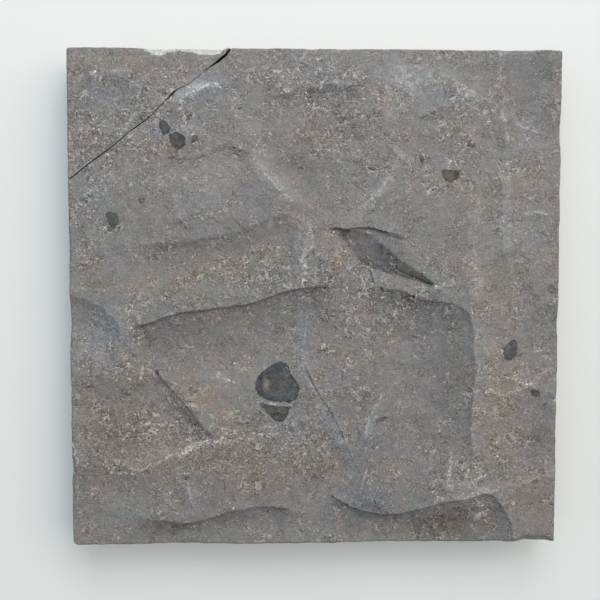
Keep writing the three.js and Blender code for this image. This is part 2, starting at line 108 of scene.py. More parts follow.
# Steps where the face jumps from one bed to the next, high side on the left of the path. The face rises by
# "rise" over "back", falls by "cliff" within "wall" and by "drop" within "sag", and is level again "run"
# further on. The two ends die out over "fade". The lip is paler by "lip", partly dust and partly a painted
# highlight; under it lies painted shade, darker by "shade" and less so past "reach".
ledges = {
    "longLedge": dict(
        rise=0.5, back=26, cliff=1.5, wall=1.3, drop=3.2, sag=24, run=40, fade=(8, 24),
        lip=0.05, shade=0.21, reach=17,
        path=[(-115, -17.5), (-107.5, -15.5), (-100, -13), (-89, -8.5), (-72.5, -6), (-56.5, -4),
            (-44, -3), (-30, 1.5), (-15.5, 6.5), (-7.5, 8), (1.5, 8.5), (11.5, 8.5), (21, 8)]),
    "shelfEdge": dict(
        rise=0.9, back=26, cliff=0, wall=8, drop=3, sag=15, run=22, fade=(16, 10),
        lip=0, shade=0.17, reach=8,
        path=[(-114, 32.5), (-101, 34.5), (-92, 35), (-82.5, 35.5), (-65.5, 38), (-52, 41), (-40, 44.5),
            (-28, 49.5), (-18, 53), (-9.5, 52.5)]),
    "flapTop": dict(
        rise=0.5, back=9, cliff=1.5, wall=0.8, drop=0.4, sag=4, run=8, fade=(3, 3),
        lip=0.06, shade=0.22, reach=2,
        path=[(7.5, 43.5), (12, 44), (21, 44), (31, 45), (39.5, 42.5), (48, 40), (54, 37.5)]),
    "plateEdge": dict(
        rise=0.7, back=13, cliff=0.9, wall=2.5, drop=3.8, sag=28, run=50, fade=(14, 10),
        lip=0.24, shade=0.17, reach=18,
        path=[(21, 5.5), (27.5, 8), (36, 9), (43, 7.5), (53.5, 6.5), (63.5, 2), (71.5, -0.5), (83, -1.5),
            (91, -3.5), (95.5, -8.5), (98, -19), (98.5, -34), (99.5, -50), (97.5, -61), (97, -89),
            (99, -104.5)]),
    "lowerLedge": dict(
        rise=0.6, back=18, cliff=0.9, wall=1.6, drop=2.4, sag=9, run=16, fade=(40, 10),
        lip=0.06, shade=0.14, reach=12,
        path=[(-127, -136), (-117.5, -135.5), (-102.5, -135.5), (-87, -137.5), (-74, -138), (-64, -135),
            (-53, -131), (-40.5, -129), (-29.5, -128), (-20.5, -128.5), (-12, -131.5)]),
    "rampSide": dict(
        rise=0.8, back=16, cliff=0.8, wall=1.6, drop=2.2, sag=14, run=20, fade=(8, 6),
        lip=0.16, shade=0.2, reach=9,
        path=[(-101.5, -40.5), (-97.5, -44.5), (-92, -51), (-85, -58.5), (-79, -65), (-72.5, -74),
            (-65.5, -81.5), (-60, -86.5)]),
    "hairStep": dict(
        rise=0.3, back=6, cliff=0.5, wall=0.8, drop=0.6, sag=5, run=10, fade=(3, 4),
        lip=0.03, shade=0.14, reach=2.5,
        path=[(-90.5, 87), (-80, 85.5), (-70, 87), (-63.5, 90.5), (-54.5, 93.5), (-45.5, 92),
            (-38.5, 87.5)]),
    "westBowl": dict(
        rise=0.5, back=10, cliff=0, wall=4, drop=2.6, sag=14, run=20, fade=(1, 8),
        lip=0.03, shade=0.18, reach=9,
        path=[(-152, 3.5), (-146.5, 2.5), (-138, 0), (-130, -4.5), (-124, -10), (-120, -15),
            (-119, -20.5), (-120.5, -30.5), (-125, -41.5)]),
    "crownStep": dict(
        rise=0.7, back=16, cliff=0.3, wall=3, drop=1.8, sag=9, run=14, fade=(16, 8),
        lip=0.03, shade=0.12, reach=7,
        path=[(-32.5, 123), (-18.5, 125), (-7, 126.5), (0, 129), (8.5, 131.5), (17.5, 129.5),
            (28, 126.5)]),
    "eastHollow": dict(
        rise=0.4, back=10, cliff=0, wall=6, drop=1.2, sag=12, run=12, fade=(6, 1),
        lip=0, shade=0.04, reach=8,
        path=[(124.5, 34), (131, 20), (132.5, 9.5), (138.5, 0), (152.5, -3.5)]),
    "westStep": dict(
        rise=0.5, back=14, cliff=0, wall=8, drop=1.5, sag=14, run=18, fade=(1, 8),
        lip=0, shade=0.05, reach=8,
        path=[(-153, -49), (-140.5, -45), (-129.5, -47.5), (-117, -50), (-106, -52.5)]),
    "southWestStep": dict(
        rise=0.6, back=14, cliff=0, wall=8, drop=1.7, sag=14, run=14, fade=(1, 8),
        lip=0, shade=0.06, reach=8,
        path=[(-152.5, -101.5), (-139, -100.5), (-123.5, -102), (-112, -106)]),
    "ridgePlate": dict(
        rise=0.9, back=9, cliff=0.6, wall=1.6, drop=0.8, sag=8, run=12, fade=(3, 3),
        lip=0.06, shade=0.1, reach=5,
        path=[(26.5, 99.5), (24.5, 106), (17, 111), (14.5, 116.5), (9, 121), (2.5, 122)]),
    "cornerFall": dict(
        rise=0.4, back=10, cliff=0.2, wall=3, drop=2, sag=14, run=30, fade=(5, 10),
        lip=0.3, shade=0.13, reach=14,
        path=[(117.5, 92), (117, 103.5), (115.5, 111), (112.5, 116.5), (107, 121), (100, 124),
            (89, 129.5), (82.5, 135.5), (73, 139.5)]),
    "cornerBlade": dict(
        rise=0.7, back=8, cliff=0.2, wall=2, drop=1.2, sag=8, run=12, fade=(1, 4),
        lip=0.18, shade=0.1, reach=6,
        path=[(150.5, 98.5), (144.5, 100.5), (137, 103.5), (129, 107), (121.5, 109)]),
    "bowDark": dict(
        rise=0.3, back=8, cliff=0.4, wall=1, drop=0.6, sag=5, run=8, fade=(3, 4),
        lip=0.03, shade=0.1, reach=3,
        path=[(61, 110.5), (66, 112), (70.5, 114.5), (76.5, 117.5), (83, 117)]),
    "bottomScar": dict(
        rise=0.6, back=12, cliff=0.9, wall=1.6, drop=2.4, sag=15, run=30, fade=(10, 1),
        lip=0.1, shade=0.2, reach=12,
        path=[(6.5, -120.5), (14, -124.5), (21.5, -128.5), (30, -131), (42.5, -133), (51.5, -133),
            (62, -131), (71.5, -128.5), (83, -126), (94, -123.5), (101.5, -121), (107.5, -120.5),
            (113, -124), (118, -130), (122.5, -138.5), (124.5, -146), (123.5, -156.5)]),
}

# Broad fracture faces that fall by "drop" from a crest to a foot, and level out over "run". The face
# between is darker by "shade", partly darker rock and partly painted shade; its crest is paler by "lip", as
# for a ledge.
slopes = {
    "wedge": dict(
        rise=0.6, back=10, drop=3.4, run=9, fade=(4, 1.5), lip=0.06, shade=0.3,
        crest=[(13.5, 43), (22, 43), (31, 41.5), (37, 38), (43, 32.5), (50, 26), (59, 20), (66.5, 16),
            (73, 9.5)],
        foot=[(13.5, 42), (17.5, 37.5), (21.5, 31), (26, 24.5), (33.5, 20), (41.5, 17), (52, 14.5),
            (61, 12.5), (71.5, 9.5)]),
}

# Ribs, or creases where the height is negative, whose flanks die out to the left and the right. Dust makes
# some paler along the top, and on some one flank is darkened by painted shade.
usualRib = dict(pale=0, paleWidth=2.5, shadeLeft=0, shadeRight=0)
ribs = {
    "footRib": dict(
        usualRib, height=0.9, left=8, right=8, fade=(4, 1), pale=0.26, paleWidth=3.4,
        path=[(83.5, -125.5), (95, -123), (106, -120), (117.5, -118), (128.5, -115), (140.5, -110.5),
            (151, -105.5)]),
    "vein": dict(
        usualRib, height=0.25, left=30, right=20, fade=(10, 4), pale=0.12, paleWidth=2.6,
        path=[(-3, 54), (-3, 44), (-5.5, 34), (-7.5, 23.5), (-9, 9.5), (-9, -6), (-8.5, -24.5),
            (-7.5, -35.5)]),
    "veinFold": dict(
        usualRib, height=1.5, left=8, right=12, fade=(6, 8), pale=0.16, paleWidth=3, shadeLeft=0.16,
        path=[(-7.5, -30.5), (-6, -42), (-2, -51), (3.5, -60.5), (11, -71.5), (18, -89.5), (26.5, -105.5),
            (33, -117), (39, -129.5)]),
    "forkedRib": dict(
        usualRib, height=2, left=10, right=20, fade=(8, 6), pale=0.26, paleWidth=4.5, shadeLeft=0.12,
        path=[(-42.5, 90), (-36.5, 83.5), (-30.5, 76), (-22, 69), (-14, 64.5), (-7, 57)]),
    "forkedRibEast": dict(
        usualRib, height=1.6, left=14, right=14, fade=(8, 8), pale=0.2, paleWidth=3.6,
        path=[(34, 57), (41.5, 68), (50.5, 83.5), (58, 91.5)]),
    "eastLine": dict(
        usualRib, height=0.5, left=7, right=6, fade=(1, 14), pale=0.16, paleWidth=1.4, shadeLeft=0.05,
        path=[(111.5, 150.5), (114, 122), (117, 92), (118, 61.5), (119, 31), (121, 9.5)]),
    "eastRib": dict(
        usualRib, height=1.8, left=16, right=4, fade=(10, 8), pale=0.24, paleWidth=3.4, shadeLeft=0.06,
        path=[(114.5, 81), (114.5, 67.5), (114.5, 52.5), (115, 37), (114, 23.5)]),
    "neckRib": dict(
        usualRib, height=0.9, left=8, right=12, fade=(6, 6), pale=0.2, paleWidth=3.2,
        path=[(102, 64.5), (97, 48), (95, 31), (97.5, 21), (99, 7.5), (98.5, -6)]),
    "lowRib": dict(
        usualRib, height=1.9, left=9, right=20, fade=(10, 10), pale=0.2, paleWidth=2.6,
        path=[(-119.5, -111), (-106, -100.5), (-97, -97.5), (-89, -94.5), (-73, -90.5), (-55, -87),
            (-39, -84.5), (-19.5, -81.5)]),
    "scarRib": dict(
        usualRib, height=-1.2, left=5, right=2.2, fade=(2, 1),
        path=[(60, -132.5), (61, -140), (63, -146.5), (65.5, -154)]),
    "scarRibWest": dict(
        usualRib, height=1.4, left=5, right=8, fade=(3, 1), pale=0.06,
        path=[(13.5, -128.5), (12.5, -137), (11, -153.5)]),
    "splayRib": dict(
        usualRib, height=1.2, left=5, right=7, fade=(3, 3), pale=0.1, paleWidth=1.6,
        path=[(-79.5, -111.5), (-77.5, -121.5), (-76, -129)]),
    "splayCrease": dict(
        usualRib, height=-1, left=6, right=8, fade=(4, 4),
        path=[(-93.5, -112.5), (-86.5, -120), (-79.5, -133.5)]),
    "midRib": dict(
        usualRib, height=1.4, left=12, right=7, fade=(10, 6), pale=0.08,
        path=[(50, -49.5), (43.5, -60.5), (38, -70.5), (34, -82), (32, -92)]),
    "southRib": dict(
        usualRib, height=1.4, left=9, right=9, fade=(6, 4), pale=0.18, paleWidth=2.4,
        path=[(84.5, -96.5), (83.5, -106), (81.5, -120)]),
    "swoosh": dict(
        usualRib, height=1.1, left=7, right=10, fade=(5, 1), pale=0.2, paleWidth=2.4,
        path=[(104, -53.5), (111, -57.5), (117, -59.5), (126, -56.5), (133.5, -52), (142, -45.5),
            (151.5, -37)]),
    "swooshLow": dict(
        usualRib, height=0.7, left=5, right=5, fade=(5, 1), pale=0.05, paleWidth=2,
        path=[(114.5, -47), (127, -52), (139.5, -56), (152, -58)]),
    "northCrease": dict(
        usualRib, height=-1.1, left=6, right=14, fade=(6, 8),
        path=[(3.5, 124.5), (11, 116.5), (19.5, 107), (25, 96.5), (30.5, 90.5)]),
    "middleCrease": dict(
        usualRib, height=-1.3, left=14, right=12, fade=(8, 6), shadeLeft=0.08, shadeRight=0.04,
        path=[(-18, 85.5), (-9.5, 76.5), (0, 66), (7.5, 60.5)]),
    "rippleA": dict(
        usualRib, height=1, left=5, right=7, fade=(5, 5), pale=0.05,
        path=[(-9.5, 104.5), (-2.5, 98.5), (4, 91.5), (9.5, 83.5)]),
    "rippleB": dict(
        usualRib, height=0.9, left=4, right=6, fade=(5, 5), pale=0.05,
        path=[(13.5, 100.5), (20, 93.5), (27.5, 85.5), (32, 79.5)]),
    "pondRim": dict(
        usualRib, height=1.1, left=12, right=8, fade=(1, 6), pale=0.08,
        path=[(-151, 91), (-144.5, 98), (-136.5, 102.5), (-126.5, 104), (-117, 102.5)]),
    "pondTop": dict(
        usualRib, height=0.8, left=6, right=9, fade=(5, 6), pale=0.06,
        path=[(-139.5, 134), (-130, 135), (-119, 136.5), (-109.5, 138.5)]),
    "crackShoulder": dict(
        usualRib, height=1.2, left=9, right=12, fade=(6, 8), pale=0.2, paleWidth=3,
        path=[(-59, 130.5), (-66.5, 129), (-75, 126), (-84.5, 121.5), (-94, 118.5), (-106, 115)]),
    "tickRib": dict(
        usualRib, height=0.7, left=3, right=5, fade=(4, 2), pale=0.1, paleWidth=1.2,
        path=[(-85, 63.5), (-85, 56), (-82.5, 47.5)]),
    "scarBrow": dict(
        usualRib, height=0.8, left=6, right=4, fade=(5, 4), pale=0.08,
        path=[(81.5, -120), (89, -118.5), (96.5, -116.5), (103, -115)]),
}

# Low mounds and hollows: x, y, reach in X and Y, height.
swells = [
    (37, 112.5, 14.5, 12, 0.9), (-113.5, -78, 18, 10.5, 1), (-66.5, 65, 32.5, 20.5, 1.3),
    (138, -84, 13.5, 21.5, -1.1), (-127, 124, 19.5, 12, -1.3), (69, 136.5, 19.5, 11, 1.2),
    (136.5, 139, 12, 8.5, -0.8), (-100.5, 61, 21.5, 15.5, 0.6), (-137, -27.5, 8.5, 8.5, 0.9),
    (22.5, 27.5, 9.5, 9.5, 0.9), (125.5, 58.5, 13.5, 18, 0.8), (-102.5, -124, 21.5, 7, -0.9),
    (-40.5, -105.5, 24, 12, 0.7), (65, -52.5, 18, 30, -0.5), (-139.5, -123.5, 13.5, 9.5, 0.8),
    (128, -106, 15.5, 15.5, 0.6), (-49.5, -30.5, 20.5, 14.5, -0.6),
]

# The crack across the upper left corner: x, y, half of the gap, depth.
crack = [
    (-50.5, 153, 0.35, 4), (-54, 148, 0.75, 5), (-58.5, 144.5, 0.8, 5), (-62.5, 141.5, 0.42, 4),
    (-66.5, 138.5, 0.12, 1), (-76, 130.5, 0.1, 0.8), (-83.5, 127, 0.2, 2), (-85.5, 125.5, 0.5, 4),
    (-88.5, 122.5, 0.42, 4), (-90.5, 120.5, 0.22, 2.5), (-96, 115, 0.16, 2), (-101, 110.5, 0.2, 2.5),
    (-107.5, 105.5, 0.27, 3), (-113, 101.5, 0.2, 2.5), (-118, 97, 0.3, 3), (-120, 95, 0.2, 2.5),
    (-129.5, 88.5, 0.27, 3), (-141.5, 79.5, 0.3, 3), (-147, 74.5, 0.22, 3), (-152, 72, 0.32, 4),
]

# Bites out of the upper edge: side, where, half length, how deep.
bites = [
    ("back", -101, 6, 1.6), ("back", -3, 5, 1.2), ("back", 18, 8, 1.0), ("back", 124, 16, 1.1),
    ("right", 101, 9, 1.7), ("right", -16, 7, 1.2), ("right", -60, 6, 1.1), ("front", 137, 17, 3.4),
    ("front", -20, 9, 0.8), ("left", -104, 8, 2.0), ("left", 30, 12, 0.7),
]
# The long chip at the back edge leaves a fresh face: where, and how wide.
longChip = {"down": 3.2, "stops": [
    (-103, 0), (-98, 4.3), (-93, 5.2), (-89, 2.6), (-83, 1.5), (-76.5, 2.6), (-69.5, 3.6), (-62, 4),
    (-57.5, 3.6), (-54.5, 0)]}

# Small spots with a place of their own: x, y, reach in X and Y, turn, lighter or darker, browner or bluer.
spots = [
    (-30.4, -52.3, 2.0, 4.6, 4, 0.55, 2.0), (-20.3, -50.5, 2.2, 5.6, 10, 0.35, -0.3),
    (-14, -57.2, 2.4, 1.8, 30, 0.5, 0.2), (-28.3, -46, 3.4, 1.5, 10, -0.4, -1.5),
    (-22, -69.5, 3.6, 2.4, 0, 0.2, 1.2), (-25, -57.5, 4.5, 1.4, -8, 0.3, 0.0),
    (-33.5, -52, 0.9, 6.0, 0, -0.5, 0.0), (-12.6, -52.5, 1.0, 4.0, -20, 0.35, 0.0),
    (-76.5, 103.5, 3.4, 3.2, 0, 0.7, 0.4), (-92.5, 98, 1.6, 4.4, 20, -0.4, -0.5),
    (118, -31, 2.6, 1.4, 60, 0.25, -0.5), (79.5, 77, 2.0, 1.4, 0, 0.3, 0.8),
    (12, 132.5, 2.2, 1.5, 0, 0.5, -0.2), (-28, 46, 2.6, 1.8, 20, 0.8, 0.1),
    (76, -18.5, 2.0, 1.5, 0, 0.5, 0.0), (101.9, -135.8, 4.0, 1.8, 35, 0.8, -0.6),
]
# Soft patches: x, y, reach in X and Y, turn in degrees, amount. Most are the rock's own lighter and darker
# tones; some darker ones just under ledges and in creases are painted shade.
tonePatches = [
    (-76, 126, 19.5, 5.5, 18, 0.3), (57, 133.5, 18, 11, -10, 0.21), (37, 112.5, 15, 13.5, 0, 0.08),
    (-9.5, 140.5, 20.5, 5.5, 0, 0.08), (9.5, 139, 5.5, 3, -20, 0.22), (24, 52.5, 7, 5, 0, 0.18),
    (-55, 66, 37.5, 21.5, 0, 0.05), (-113.5, -8.5, 7, 6, 0, 0.14), (-135, -29, 10.5, 12, 10, 0.15),
    (-102, -77, 14.5, 5, 10, 0.18), (-71.5, -90, 29, 3.5, 6, 0.12), (-145, -95.5, 5, 11, 0, 0.28),
    (-57.5, -49, 11, 3.5, -15, 0.1), (107.5, -28, 8, 31.5, 0, 0.13), (97.5, -77.5, 2.5, 18, 0, 0.1),
    (96.5, -108.5, 13.5, 12, 0, 0.12), (118.5, -113, 19.5, 5.5, 14, 0.12), (135, -53, 18, 3, 12, 0.12),
    (124.5, 39, 7, 8, 0, 0.15), (136, 53.5, 9.5, 2, 0, 0.16), (98.5, 26, 3, 23, -5, 0.08),
    (-6.5, 23.5, 3, 8, 0, 0.14), (28.5, -11, 8, 14.5, 0, 0.1), (31.5, -82, 3, 9.5, -15, 0.18),
    (16.5, -81.5, 2.5, 11, 20, 0.13), (-10.5, -79, 15.5, 8, 0, 0.09), (141.5, 0.5, 5, 2.5, 20, 0.2),
    (124.5, 108.5, 14.5, 3.5, -35, 0.14), (87.5, 131, 11, 3, -35, 0.14), (-122.5, 137.5, 8.5, 2, 5, 0.12),
    (8.5, 114, 15.5, 17, 0, -0.12), (5.5, 127.5, 13.5, 4, 5, -0.1), (-8.5, 73.5, 9.5, 17, -25, -0.08),
    (-51, 41.5, 35, 6, 12, -0.08), (-123.5, 47.5, 3.5, 8, -12, -0.3), (-126.5, 83, 3, 2.5, 0, -0.2),
    (-130, 128, 18, 11, 0, -0.08), (-121.5, -64.5, 32.5, 21.5, 0, -0.12),
    (-127, -112.5, 25.5, 8, 0, -0.12), (-51.5, -27.5, 18, 8.5, 0, -0.05),
    (81.5, -38.5, 11, 25.5, -4, -0.13), (64.5, -7.5, 12, 8.5, -20, -0.1), (140.5, -83.5, 8, 12, 0, -0.1),
    (140, 139, 7, 6, 0, -0.16), (126, 133, 23, 11, 0, -0.05), (141, 73.5, 5.5, 8.5, 0, -0.12),
    (84.5, -138, 38.5, 9.5, 3, -0.2), (40.5, -134, 24, 5.5, -10, -0.14), (140, -143.5, 11, 5.5, 0, -0.12),
    (-28, 110.5, 8.5, 14.5, -10, -0.06), (44.5, 28.5, 24, 6.5, -40, -0.16), (142, -7.5, 7, 7, 0, -0.1),
    (115.5, 104, 2.5, 14.5, 0, -0.12), (-83.5, -58.5, 3.5, 14.5, 35, -0.08),
    (-96, -124, 18, 8.5, 0, -0.05), (-62.5, -136.5, 36, 4, 4, -0.14), (-95, -11, 18, 3, 18, -0.06),
    (-82, 97, 18, 8.5, 0, 0.05), (94.5, 79.5, 15.5, 8.5, 0, 0.06), (-142.5, 103, 8.5, 6, 0, 0.12),
    (73.5, -142.5, 14.5, 10.5, 0, -0.21), (95.5, -137.5, 15.5, 11, 0, -0.19),
    (-92, -21.5, 25.5, 7, 10, -0.1), (121.5, 73.5, 14.5, 54.5, 0, 0.05), (84.5, -148, 30, 5, 2, -0.12),
    (31, -128.5, 17, 4, -14, -0.24), (112.5, -132.5, 7, 7, 0, -0.15), (-84, -143, 42.5, 8, 0, -0.2),
    (-9.5, -105.5, 151, 36, 0, -0.07), (8.5, 130.5, 127, 28, 0, 0.09), (142, -28, 15.5, 42.5, 0, -0.05),
    (128, -109.5, 24, 18, 0, -0.04), (-55.5, -15, 36, 9.5, 8, -0.04), (71, -31, 24, 30, 0, -0.04),
    (56.5, 1.5, 14.5, 5.5, -12, -0.25), (-12.5, -3, 24, 6.5, 8, -0.14), (-92, -15, 17, 6, 15, -0.1),
    (90.5, -40, 6.5, 30, 2, -0.06), (84, -11, 12, 11, -30, -0.12), (3.5, -66.5, 21.5, 3, -62, 0.14),
    (-114, -77, 15.5, 15.5, 0, -0.1), (-142, -98.5, 9.5, 30, 0, -0.06),
    (-80.5, -69.5, 19.5, 5.5, -54, -0.16), (-126, -58, 18, 12, 0, -0.05), (140, -81, 7, 23, 0, -0.14),
    (105, -56, 6, 48.5, 0, 0.12), (125, 67.5, 7, 48.5, 0, 0.1), (110.5, 119, 30, 5, -43, 0.12),
    (57, 139.5, 18, 12, 0, 0.12), (-35, 96, 37.5, 5.5, -56, 0.15), (97.5, 123.5, 25.5, 3.5, -33, 0.12),
    (61, 4, 23, 5.5, -22, -0.14), (29.5, -113, 20.5, 5.5, -62, -0.14), (48.5, 28.5, 18, 6, -42, -0.1),
    (-15.5, 97.5, 15.5, 20.5, 20, -0.07), (133.5, 136.5, 12, 9.5, 0, -0.06),
    (36, 62.5, 19.5, 3.5, 48, 0.12), (-57, 74.5, 24, 12, 0, 0.08), (-89.5, 64, 3, 27, 0, -0.08),
    (20.5, 114.5, 5, 9.5, -20, -0.12),
]
# some bluish ones, on the wedge and in the west bowl, are partly painted cool shade; the brown on the ramp
# is partly painted warm light
warmPatches = [    # brown above 0, bluish below
    (114.5, -52.5, 13.5, 63.5, 0, 0.85), (15, 23.5, 8.5, 12, 0, 0.7), (-3.5, 100.5, 18, 18, 0, 0.4),
    (119, 70.5, 7, 12, 0, 0.4), (-65, -63, 35, 11, -48, 0.95), (-43.5, -102, 36, 15.5, -8, 1.0),
    (-117, -77, 31.5, 34, 0, 0.85), (-64.5, 18.5, 54.5, 8.5, 6, 0.6), (-112.5, 58, 15.5, 13.5, 0, 0.3),
    (-125.5, 6.5, 14.5, 8.5, 0, 0.25), (84.5, -141, 36, 12, 0, 0.7), (24.5, -24.5, 18, 15.5, 0, 0.3),
    (81.5, 145.5, 24, 6, 0, 0.2), (-40.5, -30.5, 24, 18, 0, 0.15), (140.5, -125, 13.5, 20.5, 0, 0.45),
    (-87, 91.5, 5.5, 3, 0, 0.9), (-112, 143.5, 36, 6, 0, 0.6), (94.5, 58.5, 24, 13.5, 0, 0.15),
    (42.5, 27.5, 21.5, 7, -38, -0.3), (-130.5, -18, 12, 20.5, 0, -0.55),
    (-131, 53.5, 13.5, 15.5, 0, -0.5), (-70, 127, 20.5, 7, 16, -0.9), (-92.5, 104, 7, 6, 0, -0.8),
    (-133, 123, 15.5, 9.5, 0, -0.5), (34, -85, 8.5, 9.5, 0, -0.6), (-111.5, -128, 15.5, 8.5, 0, -0.6),
    (31, -124.5, 14.5, 6, 0, -0.6), (69, 133.5, 20.5, 9.5, 0, -0.5), (7.5, 133.5, 13.5, 8.5, 0, -0.5),
    (-7.5, -9, 3, 37.5, 2, -0.7), (12, -77.5, 6, 24, 28, -0.7), (-28, -55.5, 18, 26.5, 0, -0.4),
    (-52, 58, 36, 18, 0, -0.2), (71, -31, 18, 28, 0, -0.35), (9, -131, 18, 12, 0, -0.3),
    (139.5, 134, 12, 18, 0, -0.3), (29, -113, 18, 5.5, -62, -0.6), (131, 104, 18, 7, -30, -0.4),
    (-114, -61.5, 18, 14.5, 0, -0.3), (117, -138, 6, 13.5, 0, -0.9), (78, -128, 24, 3.5, 5, -0.4),
]
mauvePatches = [    # browns that lean to purple
    (-117.5, -80, 36, 36, 0, 1.0), (42.5, 27.5, 26.5, 11, -38, 1.6), (-130.5, -18, 15.5, 23, 0, 1.5),
    (-130.5, 122.5, 15.5, 12, 0, 1.2), (-40.5, -105.5, 36, 20.5, 0, 0.4), (-9.5, 103.5, 30, 30, 0, 0.5),
    (-100, 138.5, 48.5, 12, 0, 0.5), (84.5, -141, 36, 12, 0, 0.3),
]
smoothPatches = [    # fine-grained, with few pale grains
    (-130.5, 122.5, 14.5, 11, 0, 0.9), (-65, -63, 32.5, 9, -48, 0.6), (44.5, 28.5, 25.5, 7, -40, 0.9),
    (-61.5, -15, 44.5, 7, 8, 0.5), (81.5, -38.5, 11, 30, -4, 0.4), (-71.5, -139.5, 36, 6, 0, 0.4),
    (53, -134, 42.5, 5, 0, 0.5), (24, 9.5, 12, 6, 0, 0.2), (-25, -56.5, 17, 20.5, 0, 0.6),
    (-113, 46, 9.5, 6, 0, 0.3), (-46, 39, 28, 6, 10, 0.4), (-8.5, 72, 8.5, 14.5, -25, 0.4),
    (120.5, -31, 5.5, 7, 0, 0.6), (46.5, -74.5, 30, 24, 0, 0.3), (-128.5, -9, 8.5, 7, 0, 0.5),
    (124, 131, 20.5, 12, 0, 0.3),
]
speckPatches = [    # more pale grains
    (-100, 115, 42.5, 24, 0, 0.5), (14.5, 103.5, 30, 30, 0, 0.4), (-9.5, 18.5, 54.5, 15.5, 0, 0.6),
    (-77.5, -86.5, 72.5, 24, 0, 0.5), (-9.5, -86.5, 36, 24, 0, 0.4), (94, 91.5, 36, 30, 0, 0.3),
    (27.5, -12, 24, 18, 0, 0.5), (-130.5, 103, 24, 30, 0, 0.5), (-137, 61, 14.5, 30, 0, 0.4),
    (103, -112.5, 36, 18, 0, 0.4), (-9.5, 133.5, 36, 14.5, 0, 0.5), (-126, -24.5, 24, 24, 0, 0.3),
    (79.5, 6.5, 18, 12, 0, 0.5), (114.5, -62, 24, 36, 0, 0.2),
]
turnPatches = [    # which way the pale streaks run, in degrees
    (8.5, 103.5, 36, 36, 0, -50), (-28, 73, 18, 24, 0, -52), (-40, 21.5, 54.5, 15.5, 0, 14),
    (45.5, 73.5, 30, 24, 0, 40), (-102, -80, 54.5, 30, 0, 20), (113, 61.5, 24, 48.5, 0, 85),
    (108, -31, 18, 48.5, 0, 88), (27.5, -87, 30, 36, 0, 65), (-59, -136.5, 54.5, 14.5, 0, 8),
    (-125, 36.5, 30, 36, 0, -10), (-82, 121, 36, 24, 0, 35), (124.5, 116, 30, 24, 0, -38),
    (71.5, -131, 48.5, 18, 0, 80), (58, 24.5, 30, 24, 0, -35), (-130, 126.5, 24, 30, 0, 10),
]

# Thin marks: path and half width.
whiteLines = [
    ([(-141, 64), (-137, 62), (-132, 61)], 0.5),
    ([(128.5, 53.5), (136, 54), (144, 53)], 0.55),
    ([(133.5, -32), (139, -31.5), (145.5, -31.5)], 0.5),
    ([(-137, 137), (-127.5, 137.5), (-118, 138)], 0.4),
    ([(71, 151), (73, 147)], 0.7),
    ([(-108, -79), (-103, -75.5), (-99, -76.5)], 0.9),
    ([(-103, -43), (-100, -44.5), (-98, -48)], 0.8),
    ([(-91, -8.5), (-87, -8)], 1.0),
    ([(-34.5, -60.5), (-31.5, -63), (-28, -64), (-21, -65), (-15.5, -65)], 0.75),
    ([(-35.5, -62), (-35.5, -65.5), (-33.5, -68.5), (-29.5, -72)], 0.45),
    ([(-17, -42), (-16.5, -42.5)], 0.8),
    ([(-19.5, -43), (-19, -43.5)], 0.7),
    ([(-19.5, -47.5), (-15.5, -46)], 0.5),
    ([(-60.5, -45), (-56.5, -48.5), (-49, -51.5)], 0.5),
    ([(-63.5, -48.5), (-58.5, -46.5)], 0.5),
    ([(-3.5, 45.5), (-1.5, 37), (-3, 29.5)], 0.4),
    ([(-7.5, 26), (-6, 20)], 0.6),
    ([(114.5, -46.5), (133.5, -53.5), (149.5, -48.5)], 0.35),
    ([(118, -48.5), (133, -44.5)], 0.3),
    ([(99.5, -138.5), (103, -134), (107.5, -132)], 1.3),
    ([(101, -146.5), (97.5, -140)], 0.5),
    ([(45, 26.5), (48, 25.5)], 0.6),
    ([(31, 42.5), (34.5, 40.5)], 0.6),
    ([(-127, -106.5), (-118, -107.5), (-108.5, -106), (-101, -100.5)], 0.45),
    ([(-101, -103), (-96, -99.5), (-88.5, -95.5), (-80, -94.5), (-71.5, -91.5)], 0.8),
    ([(-113.5, -80), (-105.5, -76.5), (-97, -76.5), (-92, -78)], 0.5),
    ([(-86, -74.5), (-80, -79), (-76, -84.5)], 0.45),
    ([(-80, -92), (-73.5, -89), (-64, -86.5), (-55, -87), (-46.5, -86)], 0.8),
    ([(-5, -6), (-6, -18.5), (-7, -28)], 0.3),
    ([(42.5, -57), (35, -69.5), (31.5, -79.5), (31, -87)], 0.5),
    ([(35, -98), (30.5, -110.5), (29, -115.5)], 0.4),
    ([(85, -94.5), (84, -106), (81.5, -116)], 0.5),
    ([(81.5, -116), (96.5, -113.5), (112, -106)], 0.4),
    ([(-32.5, 78.5), (-20.5, 65.5), (-12, 59.5)], 0.45),
    ([(28.5, 57), (37, 65), (44, 73.5)], 0.4),
    ([(124.5, 107), (137, 101.5)], 0.4),
    ([(-79, -112.5), (-77, -121.5), (-75, -129)], 0.45),
    ([(-151, -86.5), (-147.5, -92.5), (-146.5, -102.5)], 0.6),
    ([(-57.5, 131.5), (-65, 129.5), (-72.5, 126.5), (-78.5, 124)], 0.4),
    ([(87.5, 131.5), (98.5, 125.5)], 0.4),
    ([(59.5, 7.5), (64, 8), (71.5, 7.5)], 0.4),
    ([(73, 8), (78.5, 10.5), (82.5, 9.5)], 0.7),
    ([(34, 23.5), (34.5, 18.5), (36.5, 13.5)], 0.35),
]
